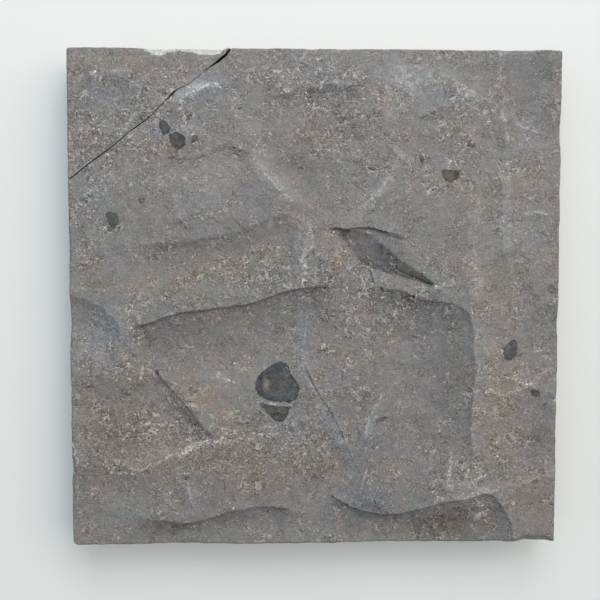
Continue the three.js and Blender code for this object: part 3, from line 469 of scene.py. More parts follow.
# the dark lines along ledges, slope feet and creases are painted shadow; the others are dark hairlines in
# the rock
darkLines = [
    ([(-6.5, -40.5), (-1.5, -52), (4, -61), (11.5, -72.5), (18, -87)], 0.5),
    ([(18.5, -89.5), (26.5, -105.5), (33, -117), (37.5, -126.5)], 0.3),
    ([(-57, -111), (-55.5, -118.5)], 0.35),
    ([(-54, -85.5), (-46, -86)], 0.5),
    ([(-94, -84), (-91, -90)], 0.4),
    ([(15, 126.5), (20.5, 129.5), (27.5, 130)], 0.35),
    ([(10.5, 44), (15.5, 43.5), (21.5, 42.5)], 0.4),
    ([(31, 45), (39.5, 42.5), (48, 40.5), (55.5, 37.5)], 0.4),
    ([(34, 22), (34, 15), (36, 9.5)], 0.4),
    ([(40, 10), (41, 5), (39, 0)], 0.3),
    ([(-87, 86.5), (-79.5, 86.5), (-70, 87), (-63.5, 91), (-54.5, 93.5), (-45.5, 92)], 0.22),
    ([(49.5, 19), (60, 14.5), (71, 10)], 0.45),
    ([(9, -121.5), (21, -128.5), (29, -131)], 0.4),
    ([(60.5, -137.5), (63, -145.5), (65.5, -153.5)], 0.3),
    ([(-81, 71), (-80.5, 62)], 0.25),
    ([(-84, 50), (-81, 46)], 0.3),
    ([(63.5, 87), (65, 83)], 0.45),
    ([(132.5, 124.5), (138.5, 123.5), (145.5, 122)], 0.22),
    ([(38, -74.5), (38.5, -78)], 0.4),
    ([(41.5, -74.5), (45, -73)], 0.5),
    ([(-107, 112), (-104.5, 108)], 0.35),
    ([(-96, 99), (-94.5, 91)], 0.35),
    ([(141.5, -65.5), (144.5, -63.5)], 0.5),
    ([(141, -109), (144, -107)], 0.5),
]

# Nodules with a drawn outline: how dark, how brown, and the outline.
noduleLoops = [
    (1.0, 0.05, [(-28.7, -41.7), (-26, -39.5), (-22, -38), (-18, -39.1), (-16.7, -41.7), (-15, -45.5),
                 (-12.7, -48.8), (-10.3, -52.2), (-10, -55.5), (-11, -59.6), (-12.7, -62.3), (-16, -63),
                 (-22, -62.6), (-27.4, -62.4), (-31.7, -60.6), (-33.7, -59.2), (-36.1, -57.1),
                 (-37.1, -53.8), (-36.7, -50.7), (-35.4, -47.4), (-33, -45), (-30.7, -43.1)]),
    (1.1, 0.15, [(-34.6, -62.9), (-31.7, -64.2), (-28.7, -64.9), (-22, -65.6), (-16.7, -66), (-15, -64.7),
                 (-16.7, -69.4), (-17.7, -72.4), (-20, -74.7), (-22.7, -75.4), (-25.4, -74.1), (-28.4, -71),
                 (-31, -68), (-33.8, -65.3)]),
    (0.85, 0.0, [(115.6, -30.3), (117.8, -28.2), (120, -26.4), (121.4, -24.9), (123.2, -24.6),
                 (124.8, -26.4), (124.7, -29.2), (124.5, -31.9), (123.9, -34.8), (122.4, -35.9),
                 (120.5, -37.3), (118.3, -37.6), (116.7, -36.2), (116.3, -33.6), (116.3, -31.4)]),
    (1.0, 0.5, [(77, 79), (81, 80), (88, 79), (86.5, 74), (82, 71.5), (77.5, 74.5)]),
    (0.8, 0, [(-127.5, 53.5), (-123.5, 53.5), (-120.5, 52), (-119.5, 49), (-122.5, 42), (-125, 45),
              (-126.5, 49.5)]),
    (0.85, 0, [(-95, 108), (-92, 109), (-89, 106), (-88, 102), (-92, 99.5), (-94, 103)]),
    (1.0, 0.1, [(-89, 100), (-84, 102), (-79, 98.5), (-79, 93.5), (-83.5, 91), (-87.5, 94.5)]),
    (0.5, 0.7, [(-89.5, 94), (-86, 94.5), (-83.5, 90.5), (-84.5, 85.5), (-87.5, 87), (-90, 91)]),
    (0.7, 0.2, [(-76, 99), (-71.5, 100), (-71, 96), (-75, 95.5)]),
]
# Smaller ones are rounded: x, y, reach in X and Y, turn, how dark, how brown.
nodules = [
    (94.5, 94.5, 2.6, 1.3, -10, 0.6, 0.4), (64.5, 86.5, 1.3, 2.0, 40, 0.6, 0.4),
    (145.5, 6.5, 2.6, 2.8, 0, 0.6, 0.8), (-105.5, 60.5, 1.9, 1.9, 0, 0.6, 0.5),
    (-111.5, -34, 1.7, 1.3, 0, 0.6, 0.3), (41, -74, 3.6, 1.3, 18, 0.6, 0.2),
    (64, 49.5, 1.6, 1.5, 0, 0.5, 0.4), (-98, -45, 1.5, 1.9, 30, 0.7, 0.2),
    (136.5, -58, 3.2, 2, -20, 0.8, 0.5), (137, -113, 2.2, 1.2, 0, 0.5, 0.3),
]


lattice = 64    # cells before the noise repeats


def latticeNoise(x, y, cell, seed):
    table = np.random.default_rng(seed).uniform(0, 2 * math.pi, (lattice, lattice))
    u = x / cell
    v = y / cell
    iu = np.floor(u).astype(int)
    iv = np.floor(v).astype(int)
    fu = u - iu
    fv = v - iv

    def corner(du, dv):
        angle = table[(iu + du) % lattice, (iv + dv) % lattice]
        return np.cos(angle) * (fu - du) + np.sin(angle) * (fv - dv)

    su = fu ** 3 * (fu * (fu * 6 - 15) + 10)
    sv = fv ** 3 * (fv * (fv * 6 - 15) + 10)
    low = corner(0, 0) * (1 - su) + corner(1, 0) * su
    high = corner(0, 1) * (1 - su) + corner(1, 1) * su
    return 1.5 * (low * (1 - sv) + high * sv)


def roughNoise(x, y, cell, seed, layers=3):
    total = 0
    for k in range(layers):
        total = total + latticeNoise(x, y, cell / 2 ** k, seed + k) / 2 ** k
    return total


def ease(t):
    t = np.clip(t, 0, 1)
    return t * t * (3 - 2 * t)


def softened(path, rounds=2):
    # corners are cut, twice if not told otherwise
    line = [np.array(p, float) for p in path]
    for _ in range(rounds):
        cut = [line[0]]
        for a, b in zip(line[:-1], line[1:]):
            cut += [a * 0.75 + b * 0.25, a * 0.25 + b * 0.75]
        line = cut + [line[-1]]
    return np.array(line)


def closest(x, y, line):
    # from the nearest point of the line: the way back in X and Y, the side, and how far along it is
    best = np.full(x.shape, 1e9)
    ox = np.zeros(x.shape)
    oy = np.zeros(x.shape)
    side = np.ones(x.shape)
    along = np.zeros(x.shape)
    length = 0.0
    for (ax, ay), (bx, by) in zip(line[:-1], line[1:]):
        dx = bx - ax
        dy = by - ay
        step = math.hypot(dx, dy)
        t = np.clip(((x - ax) * dx + (y - ay) * dy) / step ** 2, 0, 1)
        px = x - ax - t * dx
        py = y - ay - t * dy
        off = np.hypot(px, py)
        nearer = off < best
        best = np.where(nearer, off, best)
        ox = np.where(nearer, px, ox)
        oy = np.where(nearer, py, oy)
        side = np.where(nearer, np.where(dx * py - dy * px < 0, -1.0, 1.0), side)
        along = np.where(nearer, length + t * step, along)
        length += step
    return ox, oy, side, along, length


def beside(x, y, line):
    ox, oy, side, along, length = closest(x, y, line)
    return np.hypot(ox, oy) * side, along, length


def fading(along, length, fade):
    return ease(along / fade[0]) * ease((length - along) / fade[1])


def ledgeHeight(x, y, k):
    away, along, length = beside(x, y, softened(k["path"]))
    below = -away
    vary = 1 + slab["uneven"] * latticeNoise(x, y, slab["unevenSize"], seeds["ledges"])
    up = k["rise"] * np.clip(1 - away / k["back"], 0, 1) ** slab["flank"]
    sunk = np.sin(math.pi / 2 * np.clip(below / k["sag"], 0, 1))
    fall = k["cliff"] * ease(below / k["wall"]) + k["drop"] * sunk
    lowest = k["rise"] - k["cliff"] - k["drop"]
    down = np.where(below < k["sag"], k["rise"] - fall, lowest * ease(1 - (below - k["sag"]) / k["run"]))
    return fading(along, length, k["fade"]) * vary * np.where(away > 0, up, down)


def slopeHeight(x, y, k):
    away, along, length = beside(x, y, softened(k["crest"]))
    past = beside(x, y, softened(k["foot"]))[0]
    share = np.clip(-away, 0, None) / (np.clip(-away, 0, None) + np.clip(past, 0, None) + 1e-6)
    up = k["rise"] * np.clip(1 - away / k["back"], 0, 1) ** slab["flank"]
    face = k["rise"] - (k["rise"] + k["drop"]) * share
    out = -k["drop"] * np.clip(1 + past / k["run"], 0, 1) ** slab["toe"]
    return fading(along, length, k["fade"]) * np.where(away >= 0, up, np.where(past > 0, face, out))


def ribHeight(x, y, k):
    away, along, length = beside(x, y, softened(k["path"]))
    flank = np.where(away > 0, away / k["left"], -away / k["right"])
    return fading(along, length, k["fade"]) * k["height"] * np.clip(1 - flank, 0, 1) ** slab["flank"]


def turnedInto(x, y, px, py, rx, ry, turn):
    # places as shares of an oval's reach
    c = math.cos(math.radians(turn))
    s = math.sin(math.radians(turn))
    return ((x - px) * c + (y - py) * s) / rx, ((y - py) * c - (x - px) * s) / ry


def patch(x, y, px, py, rx, ry, turn=0, sharp=1.2):
    u, v = turnedInto(x, y, px, py, rx, ry, turn)
    return np.exp(-sharp * (u * u + v * v))


def crackShape(x, y):
    away, along, length = beside(x, y, [stop[:2] for stop in crack])
    steps = [math.hypot(b[0] - a[0], b[1] - a[1]) for a, b in zip(crack[:-1], crack[1:])]
    stops = np.concatenate([[0], np.cumsum(steps)])
    half = np.interp(along, stops, [stop[2] for stop in crack])
    deep = np.interp(along, stops, [stop[3] for stop in crack])
    return away, half, deep


def wandered(x, y):
    return (x + slab["bend"] * roughNoise(x, y, slab["bendSize"], seeds["bendX"]),
            y + slab["bend"] * roughNoise(x, y, slab["bendSize"], seeds["bendY"]))


def splitFace(x, y):
    z = np.full(x.shape, slab["thickness"])
    for k, (size, height) in enumerate(grain):
        z += height * latticeNoise(x, y, size, seeds["grain"] + k)
    wx, wy = wandered(x, y)
    for k in ledges.values():
        z += ledgeHeight(wx, wy, k)
    for k in slopes.values():
        z += slopeHeight(wx, wy, k)
    for k in ribs.values():
        z += ribHeight(wx, wy, k)
    for sx, sy, rx, ry, height in swells:
        z += height * patch(x, y, sx, sy, rx, ry)
    # terraces a fraction of a millimetre high
    bed = flakes["beds"] * roughNoise(x, y, flakes["size"], seeds["beds"])
    bed = bed + flakes["tiltX"] * x - flakes["tiltY"] * y
    flake = np.floor(bed) + ease((bed - np.floor(bed)) / flakes["edge"]) - bed
    here = ease(roughNoise(x, y, flakes["spread"], seeds["flakes"]) + 0.5)
    z += flakes["height"] * flake * (0.4 + 0.6 * here)
    # low scallops drawn out along the grain
    turn = grainTurn(x, y)
    calm = 1 - scallopShape["calm"] * np.clip(addUp(x, y, smoothPatches), 0, 1)
    for across, height, seed in scallops:
        total = 0
        weight = 1e-3
        for lie in grainLies:
            c = math.cos(math.radians(lie))
            s = math.sin(math.radians(lie))
            share = np.cos(turn - math.radians(lie)) ** 6
            long = (x * c + y * s) / scallopShape["stretch"]
            wave = roughNoise(long, y * c - x * s, across, seed + lie % 7, 2)
            total = total + share * (scallopShape["rise"] - np.abs(wave))
            weight = weight + share
        z += height * calm * total / weight
    return z


def inLoop(x, y, loop):
    odd = np.zeros(x.shape, bool)
    for (ax, ay), (bx, by) in zip(loop, loop[1:] + loop[:1]):
        crosses = (ay > y) != (by > y)
        odd ^= crosses & (x < (bx - ax) * (y - ay) / (by - ay + 1e-9) + ax)
    return odd


arris = {"size": 0.9, "wander": 0.5, "over": 9, "least": 0.35}
sideSeeds = {"left": 5, "right": 6, "front": 7, "back": 8}
corners = {(-1, -1): 3.4, (-1, 1): 1.4, (1, -1): 1.2, (1, 1): 1.6}    # how round each one is


def wearAt(side, at):
    size = arris["size"] + arris["wander"] * roughNoise(at, 0 * at, arris["over"], sideSeeds[side])
    for biteSide, place, half, deep in bites:
        if biteSide == side:
            size = size + deep * ease(1.4 - 1.4 * np.abs(at - place) / half)
    return np.clip(size, arris["least"], None)


def wornEdges(x, y, depth):
    # where the points move to in X and Y, and how far down
    low = np.zeros(x.shape)
    nx = x.copy()
    ny = y.copy()
    sides = [("left", halfX + x, y, nx, 1), ("right", halfX - x, y, nx, -1),
             ("front", halfY + y, x, ny, 1), ("back", halfY - y, x, ny, -1)]
    for side, inside, at, moved, way in sides:
        slip = np.clip(wearAt(side, at) - inside - depth, 0, None) / 2
        low += slip
        moved += way * slip
    for (sx, sy), radius in corners.items():
        u = np.clip(sx * nx - (halfX - radius), 0, None)
        v = np.clip(sy * ny - (halfY - radius), 0, None)
        both = (u > 0) & (v > 0)
        squeeze = np.where(both, np.maximum(u, v) / np.hypot(u + 1e-9, v), 1)
        nx = np.where(both, sx * (halfX - radius + u * squeeze), nx)
        ny = np.where(both, sy * (halfY - radius + v * squeeze), ny)
    return nx, ny, low


def subdivideFaces(stone, chosen):
    bpy.ops.object.mode_set(mode="OBJECT")
    stone.data.vertices.foreach_set("select", np.zeros(len(stone.data.vertices), bool))
    stone.data.edges.foreach_set("select", np.zeros(len(stone.data.edges), bool))
    stone.data.polygons.foreach_set("select", chosen)
    bpy.ops.object.mode_set(mode="EDIT")
    bpy.ops.mesh.select_mode(type="FACE")
    bpy.ops.mesh.subdivide(number_cuts=1)
    bpy.ops.object.mode_set(mode="OBJECT")


def faceCentres(stone):
    flat = np.zeros(3 * len(stone.data.polygons))
    stone.data.polygons.foreach_get("center", flat)
    return (flat.reshape(-1, 3) / mm).T


def vertexPlaces(stone):
    flat = np.zeros(3 * len(stone.data.vertices))
    stone.data.vertices.foreach_get("co", flat)
    return (flat.reshape(-1, 3) / mm).T


def nearest(x, y, lines):
    # the distance to the closest of several lines
    best = np.full(x.shape, 99.0)
    for line in lines:
        away = beside(x, y, line)[0]
        best = np.where(np.abs(away) < np.abs(best), away, best)
    return best


def sawnBlank():
    bpy.ops.object.select_all(action="DESELECT")
    cellsX = round(2 * halfX / slab["step"])
    cellsY = round(2 * halfY / slab["step"])
    bpy.ops.mesh.primitive_grid_add(x_subdivisions=cellsX, y_subdivisions=cellsY, size=1,
                                    location=(0, 0, slab["thickness"] * mm))
    stone = bpy.context.object
    stone.name = "limestoneSlab"
    stone.scale = (2 * halfX * mm, 2 * halfY * mm, 1)
    bpy.ops.object.transform_apply(location=True, rotation=True, scale=True)
    bpy.ops.object.mode_set(mode="EDIT")
    bpy.ops.mesh.select_all(action="SELECT")
    bpy.ops.mesh.region_to_loop()
    above = 0
    for level in slab["wallLevels"]:
        bpy.ops.mesh.extrude_region_move(TRANSFORM_OT_translate={"value": (0, 0, (above - level) * mm)})
        above = level
    bpy.ops.mesh.edge_face_add()
    bpy.ops.mesh.select_all(action="SELECT")
    bpy.ops.mesh.normals_make_consistent(inside=False)
    bpy.ops.object.mode_set(mode="OBJECT")
    return stone


def featureLines():
    lines = [softened(k["path"]) for k in ledges.values()]
    lines += [softened(k["crest"]) for k in slopes.values()]
    lines += [softened(k["foot"]) for k in slopes.values()]
    lines += [softened(k["path"]) for k in ribs.values() if min(k["left"], k["right"]) < 10]
    return lines


def closerMesh(stone):
    # small cells where a feature runs, and smaller ones along the crack
    x, y, z = faceCentres(stone)
    off = np.abs(nearest(*wandered(x, y), featureLines()))
    marks = np.abs(nearest(x, y, [np.array(path) for path, half in whiteLines + darkLines]))
    edge = np.minimum(halfX - np.abs(x), halfY - np.abs(y))
    gap = np.abs(crackShape(x, y)[0])
    wanted = (off < finer["feature"]) | (marks < finer["mark"])
    wanted |= (edge < finer["edge"]) | (gap < finer["crack"])
    subdivideFaces(stone, (z > slab["thickness"] - finer["depth"]) & wanted)
    for depth, reach in finerCrack:
        x, y, z = faceCentres(stone)
        gap, half, deep = crackShape(x, y)
        subdivideFaces(stone, (z > slab["thickness"] - depth) & (np.abs(gap) < half + reach))


def carve(stone):
    x, y, z = vertexPlaces(stone)
    depth = slab["thickness"] - z
    onFace = depth < 1e-3
    free = onFace & (halfX - np.abs(x) > 1.0) & (halfY - np.abs(y) > 1.0)
    # points are drawn onto the crests and feet, so that their edges come out clean
    for line in featureLines():
        ox, oy = closest(*wandered(x, y), line)[:2]
        near = free & (np.hypot(ox, oy) < slab["snap"])
        x = np.where(near, x - ox, x)
        y = np.where(near, y - oy, y)
    ox, oy = closest(x, y, [stop[:2] for stop in crack])[:2]
    away, half, deep = crackShape(x, y)
    off = np.abs(away) + 1e-9
    onMiddle = free & (off < slab["crackSnap"])
    onLip = free & (np.abs(off - half) < slab["crackSnap"]) & ~onMiddle
    pull = np.where(onMiddle, 1.0, np.where(onLip, (off - half) / off, 0.0))
    x = x - ox * pull
    y = y - oy * pull

    away, half, deep = crackShape(x, y)
    inGap = np.clip(1 - np.abs(away) / half, 0, 1)
    chipX, chipWidths = zip(*longChip["stops"])
    chipWidth = np.interp(x, chipX, chipWidths)
    inChip = np.clip((y - halfY + chipWidth) / (chipWidth + 0.01), 0, 1) * (chipWidth > 0.05)
    top = splitFace(x, y)
    top = top - np.where(onFace, deep * np.minimum(1, 1.5 * inGap), 0)
    top = top - longChip["down"] * inChip * np.clip(chipWidth / 2, 0, 1)
    share = (slab["thickness"] - depth) / slab["thickness"]
    nx, ny, low = wornEdges(x, y, depth)
    cut = slab["mouth"] * inGap * share
    nx = np.where(onFace, nx, nx * (1 - cut / halfX * (np.abs(x) > halfX - 0.5)))
    ny = np.where(onFace, ny, ny * (1 - cut / halfY * (np.abs(y) > halfY - 0.5)))
    nz = np.where(depth > slab["thickness"] - 1e-3, 0, top * share - low * np.minimum(1, share * 2))
    stone.data.vertices.foreach_set("co", (np.stack([nx, ny, nz], 1) * mm).ravel())
    stone.data.update()
    return x, y, depth, inChip


patchEdge = {"wander": 3, "over": 13}    # how far the outlines of the patches wander, and over what length
# how softly the painted shade and the paleness along the relief start, how far they reach, and how a thin
# mark tapers to its ends
tones = {"start": 1.2, "lipStart": 1.0, "lipReach": 1.6, "flankStart": 2, "flankReach": 9}
streakDrift = {"turn": 0.8, "over": 45, "weight": 0.25}
thin = {"taper": 1.5, "tip": 0.3, "reach": 2.5}


def addUp(x, y, patches):
    total = np.zeros(x.shape)
    wx = x + patchEdge["wander"] * roughNoise(x, y, patchEdge["over"], seeds["patchX"])
    wy = y + patchEdge["wander"] * roughNoise(x, y, patchEdge["over"], seeds["patchY"])
    for *oval, amount in patches:
        total += amount * patch(wx, wy, *oval)
    return total


def paleLip(away, k):
    reach = np.exp(-np.clip(away, 0, None) / tones["lipReach"])
    return k["lip"] * reach * ease(0.5 + away / tones["lipStart"])


def reliefShadingAndDust(x, y):
    # painted shade below each ledge, on one flank of some ribs and across a slope's face, which is also
    # darker rock; lips are paler by dust and a painted highlight, and dust makes crests paler
    total = np.zeros(x.shape)
    wx, wy = wandered(x, y)
    for k in ledges.values():
        away, along, length = beside(wx, wy, softened(k["path"]))
        dark = k["shade"] * np.exp(np.clip(away, None, 0) / k["reach"]) * ease(0.5 - away / tones["start"])
        total += fading(along, length, k["fade"]) * (paleLip(away, k) - dark)
    for k in slopes.values():
        away, along, length = beside(wx, wy, softened(k["crest"]))
        past = beside(wx, wy, softened(k["foot"]))[0]
        inside = ease(0.5 - away / tones["start"]) * ease(0.5 + past / tones["start"])
        total += fading(along, length, k["fade"]) * (paleLip(away, k) - k["shade"] * inside)
    for k in ribs.values():
        away, along, length = beside(wx, wy, softened(k["path"]))
        ends = fading(along, length, k["fade"])
        flank = np.exp(-np.abs(away) / tones["flankReach"])
        total += ends * k["pale"] * np.exp(-(away / k["paleWidth"]) ** 2)
        total -= ends * k["shadeLeft"] * flank * ease(away / tones["flankStart"])
        total -= ends * k["shadeRight"] * flank * ease(-away / tones["flankStart"])
    return total


def spotted(x, y, which):
    total = np.zeros(x.shape)
    for spot in spots:
        total += spot[which] * patch(x, y, *spot[:5], sharp=1.0)
    return total


def grainTurn(x, y):
    # the way that the streaks run, in radians
    total = np.zeros(x.shape)
    weight = np.full(x.shape, streakDrift["weight"])
    for *oval, angle in turnPatches:
        share = patch(x, y, *oval)
        total += share * math.radians(angle)
        weight += share
    return total / weight + streakDrift["turn"] * roughNoise(x, y, streakDrift["over"], seeds["streaks"])


def thinMarks(x, y, marks):
    away = np.full(x.shape, 9.0)
    half = np.zeros(x.shape)
    for path, width in marks:
        off, along, length = beside(x, y, softened(path, 1))
        ends = np.clip(np.minimum(along, length - along) / thin["taper"] + thin["tip"], 0, 1)
        nearer = np.abs(off) < np.abs(away)
        away = np.where(nearer, off, away)
        half = np.where(nearer, width * ends, half)
    return away, half * np.clip(thin["reach"] - np.abs(away), 0, 1)


def noduleMarks(x, y):
    inside = np.full(x.shape, -9.0)
    dark = np.zeros(x.shape)
    brown = np.zeros(x.shape)
    found = []
    for amount, hue, loop in noduleLoops:
        away = np.abs(beside(x, y, loop + loop[:1])[0])
        found.append((np.where(inLoop(x, y, loop), away, -away), amount, hue))
    for px, py, rx, ry, turn, amount, hue in nodules:
        u, v = turnedInto(x, y, px, py, rx, ry, turn)
        found.append(((1 - np.hypot(u, v)) * min(rx, ry), amount, hue))
    for off, amount, hue in found:
        nearer = off > inside
        inside = np.where(nearer, off, inside)
        dark = np.where(nearer, amount, dark)
        brown = np.where(nearer, hue, brown)
    return inside, dark, brown


def markUp(stone, x, y, depth, inChip):
    # what the finish needs to know at each point, as attributes of the mesh
    white, whiteHalf = thinMarks(x, y, whiteLines)
    dark, darkHalf = thinMarks(x, y, darkLines)
    inside, noduleDark, noduleBrown = noduleMarks(x, y)
    away, crackHalf, deep = crackShape(x, y)
    layers = {
        # the patches, and the painted shade and highlight along the relief
        "tone": addUp(x, y, tonePatches) + reliefShadingAndDust(x, y),
        "warmth": addUp(x, y, warmPatches),
        "mauve": np.clip(addUp(x, y, mauvePatches), 0, 1),
        "smoothness": np.clip(addUp(x, y, smoothPatches), 0, 1),
        "speckle": addUp(x, y, speckPatches),
        "grainTurn": grainTurn(x, y),
        "whiteOff": white,
        "whiteHalf": whiteHalf,
        "darkOff": dark,
        "darkHalf": darkHalf,
        "spotLight": spotted(x, y, 5),
        "spotWarm": spotted(x, y, 6),
        "noduleIn": inside,
        "noduleDark": noduleDark,
        "noduleBrown": noduleBrown,
        "crackOff": np.abs(away) - crackHalf,
        "crackHalf": crackHalf,
        "chip": inChip,
        "sawn": np.clip(depth / 1.5 - 0.5, 0, 1),
    }
    for name, values in layers.items():
        layer = stone.data.attributes.new(name, "FLOAT", "POINT")
        layer.data.foreach_set("value", np.asarray(values, np.float32))
    print("marks noted in", len(layers), "layers")


finish = {
    "stone": (0.2085, 0.1965, 0.189),    # mean of the split face
    "brown": (1.135, 0.975, 0.835),      # what warmth 1 does to it
    "cool": (0.86, 1.0, 1.17),           # and warmth -1
    "rosy": (1.025, 0.975, 1.01),        # and two faint hues that drift over the face
    "mossy": (0.985, 1.015, 0.985),
    "mauve": (0.995, 0.998, 1.025),
    "thread": (0.215, 0.203, 0.195),     # hairlines and specks
    "bloom": (0.37, 0.385, 0.40),        # bruises and veins
    "white": (0.52, 0.50, 0.46),
    "fresh": (0.56, 0.57, 0.52),
    "sawn": (0.30, 0.295, 0.28),
    "nodule": (0.070, 0.074, 0.080),
    "rust": (0.16, 0.115, 0.075),        # and the other hues of the nodules
    "slate": (0.070, 0.080, 0.105),
    "tan": (0.135, 0.108, 0.090),
    "roughness": 0.86,
    "gloss": 0.35,
}
# The grain of the rock: sizes in mm, how much each kind lightens or darkens it, and how far it stands out.
texture = {
    "mottle": {"size": 20, "light": 0.16},
    "blotch": {"size": 6, "light": 0.18},
    "crumb": {"size": 1.7, "light": 0.30, "height": 0.25},
    "dust": {"size": 0.95, "light": 1.3, "height": 0.08},
    "lump": {"size": 3.6, "height": 0.6},
    "crest": {"size": 2.6, "half": 0.12, "height": 1.4},
    "fibre": {"size": 1.9, "stretch": 1.8, "light": 0.35, "height": 0.45},
    "threads": {"light": 0.2, "height": 0.06},
    "darkThreads": {"light": -0.12, "height": -0.08},
    "flecks": {"cell": 3.4, "long": 1.7, "wide": 0.28, "spread": 1.4, "share": 0.30, "shift": 0.0,
               "light": 0.8, "height": 0.08},
    "grit": {"cell": 1.7, "long": 0.5, "wide": 0.36, "spread": 6.0, "share": 0.16, "shift": 7.0,
             "light": 0.8},
    "sparks": {"cell": 3.1, "long": 0.75, "wide": 0.5, "spread": 6.0, "share": 0.14, "shift": 17.0,
               "light": 1.5},
    "longCurls": {"size": 6.0, "wide": 0.055, "shift": 5.0},
    "shortCurls": {"size": 3.6, "wide": 0.085, "shift": 31.0, "share": 0.8},
    "curls": {"light": 0.52, "height": 0.12},
    "curlShadows": {"light": -0.21, "height": -0.16},
    "darkMarks": {"light": 0.55, "height": -0.3},
    "whiteMarks": {"light": 0.15, "height": 0.06},
    "rim": {"light": 0.3, "height": -0.2},
}
hueDrift = [(28, 3, 0.6, 0.8), (9, 4, 0.6, 0.8), (1.5, 3, 0.8, 0.55)]    # size, detail, roughness, amount
veined = {"size": 4.5, "broken": 1.6, "starts": -0.5, "most": 0.4}


def node(tree, kind, inputs=None, **settings):
    made = tree.nodes.new("ShaderNode" + kind)
    for name, value in settings.items():
        setattr(made, name, value)
    for name, value in (inputs or {}).items():
        if isinstance(value, bpy.types.NodeSocket):
            tree.links.new(value, made.inputs[name])
        else:
            made.inputs[name].default_value = value
    return made


def stoneFinish():
    material = bpy.data.materials.new("riven limestone")
    material.use_nodes = True
    tree = material.node_tree
    tree.nodes.clear()

    def sums(operation, *values):
        total = values[0]
        for value in values[1:]:
            total = node(tree, "Math", {0: total, 1: value}, operation=operation).outputs[0]
        return total

    def add(*values):
        return sums("ADD", *values)

    def times(*values):
        return sums("MULTIPLY", *values)

    def less(a, b):
        return sums("SUBTRACT", a, b)

    def size(value):
        return node(tree, "Math", {0: value}, operation="ABSOLUTE").outputs[0]

    def between(value, low, high, first=0.0, last=1.0):
        return node(tree, "MapRange", {"Value": value, "From Min": low, "From Max": high, "To Min": first,
                    "To Max": last}, interpolation_type="SMOOTHSTEP").outputs["Result"]

    def layer(name):
        return node(tree, "Attribute", attribute_name=name).outputs["Fac"]

    def tint(colour, other, share, way="MIX"):
        mixed = node(tree, "Mix", data_type="RGBA", blend_type=way)
        for at, value in ((0, share), (6, colour), (7, other)):
            socket = mixed.inputs[at]
            if isinstance(value, bpy.types.NodeSocket):
                tree.links.new(value, socket)
            elif isinstance(value, tuple):
                socket.default_value = (*value, 1)
            else:
                socket.default_value = value
        return mixed.outputs[2]

    def vector(operation, *values):
        return node(tree, "VectorMath", dict(enumerate(values)), operation=operation).outputs[0]

    def scaled(value, factor):
        return node(tree, "VectorMath", {0: value, "Scale": factor}, operation="SCALE").outputs[0]

    def spun(value, angle):
        made = node(tree, "VectorRotate", {"Vector": value, "Angle": angle}, rotation_type="Z_AXIS")
        return made.outputs[0]

    place = scaled(node(tree, "TexCoord").outputs["Object"], 1 / mm)

    def cloud(across, detail=2.0, roughness=0.55, at=None, twist=0.0):
        return node(tree, "TexNoise", {"Vector": at or place, "Scale": 1 / across, "Detail": detail,
                    "Roughness": roughness, "Distortion": twist}).outputs["Fac"]

    def centred(value, amount):
        return times(less(value, 0.5), 2 * amount)

    # points pushed about a little, so that no mark has a machined edge
    jitter = node(tree, "TexNoise", {"Vector": place, "Scale": 0.8, "Detail": 2.0}).outputs["Color"]
    loose = vector("ADD", place, scaled(vector("SUBTRACT", jitter, (0.5, 0.5, 0.5)), 1.4))
    turn = layer("grainTurn")

    def strokes(kind):
        # one short stroke in each cell, lying along the grain
        moved = vector("ADD", loose, (kind["shift"], -kind["shift"], 0))
        cells = node(tree, "TexVoronoi", {"Vector": moved, "Scale": 1 / kind["cell"]},
                     voronoi_dimensions="2D")
        away = vector("SUBTRACT", moved, cells.outputs["Position"])
        dice = node(tree, "SeparateColor", {0: cells.outputs["Color"]})
        angle = add(turn, centred(dice.outputs[0], kind["spread"]))
        parts = node(tree, "SeparateXYZ", {0: spun(away, times(angle, -1.0))})
        u = times(parts.outputs[0], 1 / kind["long"])
        v = times(parts.outputs[1], 1 / kind["wide"])
        inside = between(add(times(u, u), times(v, v)), 1.0, 0.35)
        present = between(dice.outputs[1], 1 - kind["share"], 1 - kind["share"] + 0.02)
        return times(inside, present, add(0.35, times(dice.outputs[2], 0.65)))

    lies = []
    for lie in grainLies:
        align = node(tree, "Math", {0: less(turn, math.radians(lie))}, operation="COSINE").outputs[0]
        align = times(align, align)
        lies.append((lie, times(align, align, align)))
    weight = add(*[share for lie, share in lies])

    def drawnOut(across, stretch):
        # noise pulled out along the grain, about 0 in the middle
        parts = []
        for lie, share in lies:
            turned = spun(place, -math.radians(lie))
            squeezed = vector("MULTIPLY_ADD", turned, (1 / stretch, 1, 1), (0, lie, 0))
            parts.append(times(less(cloud(across, 3.0, 0.6, squeezed, 1.0), 0.5), share))
        return sums("DIVIDE", add(*parts), weight)

    # tone lightens and darkens the colour: the rock's own tone, and the painted shade and highlight along
    # the relief
    tone = times(layer("tone"), add(1.0, centred(cloud(3.4, 4, 0.65, twist=0.5), 1.3)))
    smoothness = layer("smoothness")
    speckle = layer("speckle")
    busy = between(add(cloud(9, 3), times(speckle, 0.4)), 0.38, 0.75)
    rough = times(less(1.0, times(smoothness, 0.65)), add(0.55, times(busy, 0.75)))
    mottle = cloud(texture["mottle"]["size"], 3)
    blotch = cloud(texture["blotch"]["size"], 3, 0.65, loose)
    crumb = cloud(texture["crumb"]["size"], 3, 0.7, twist=0.6)
    dust = cloud(texture["dust"]["size"], 3, 0.75)
    fibre = drawnOut(texture["fibre"]["size"], texture["fibre"]["stretch"])
    patches = cloud(2.6, 2, 0.6, loose)
    threads = times(between(size(fibre), 0.045, 0.0), between(patches, 0.47, 0.62))
    darkThreads = times(between(size(add(fibre, 0.09)), 0.04, 0.0), between(cloud(3.1, 2), 0.48, 0.62))

    def curls(kind):
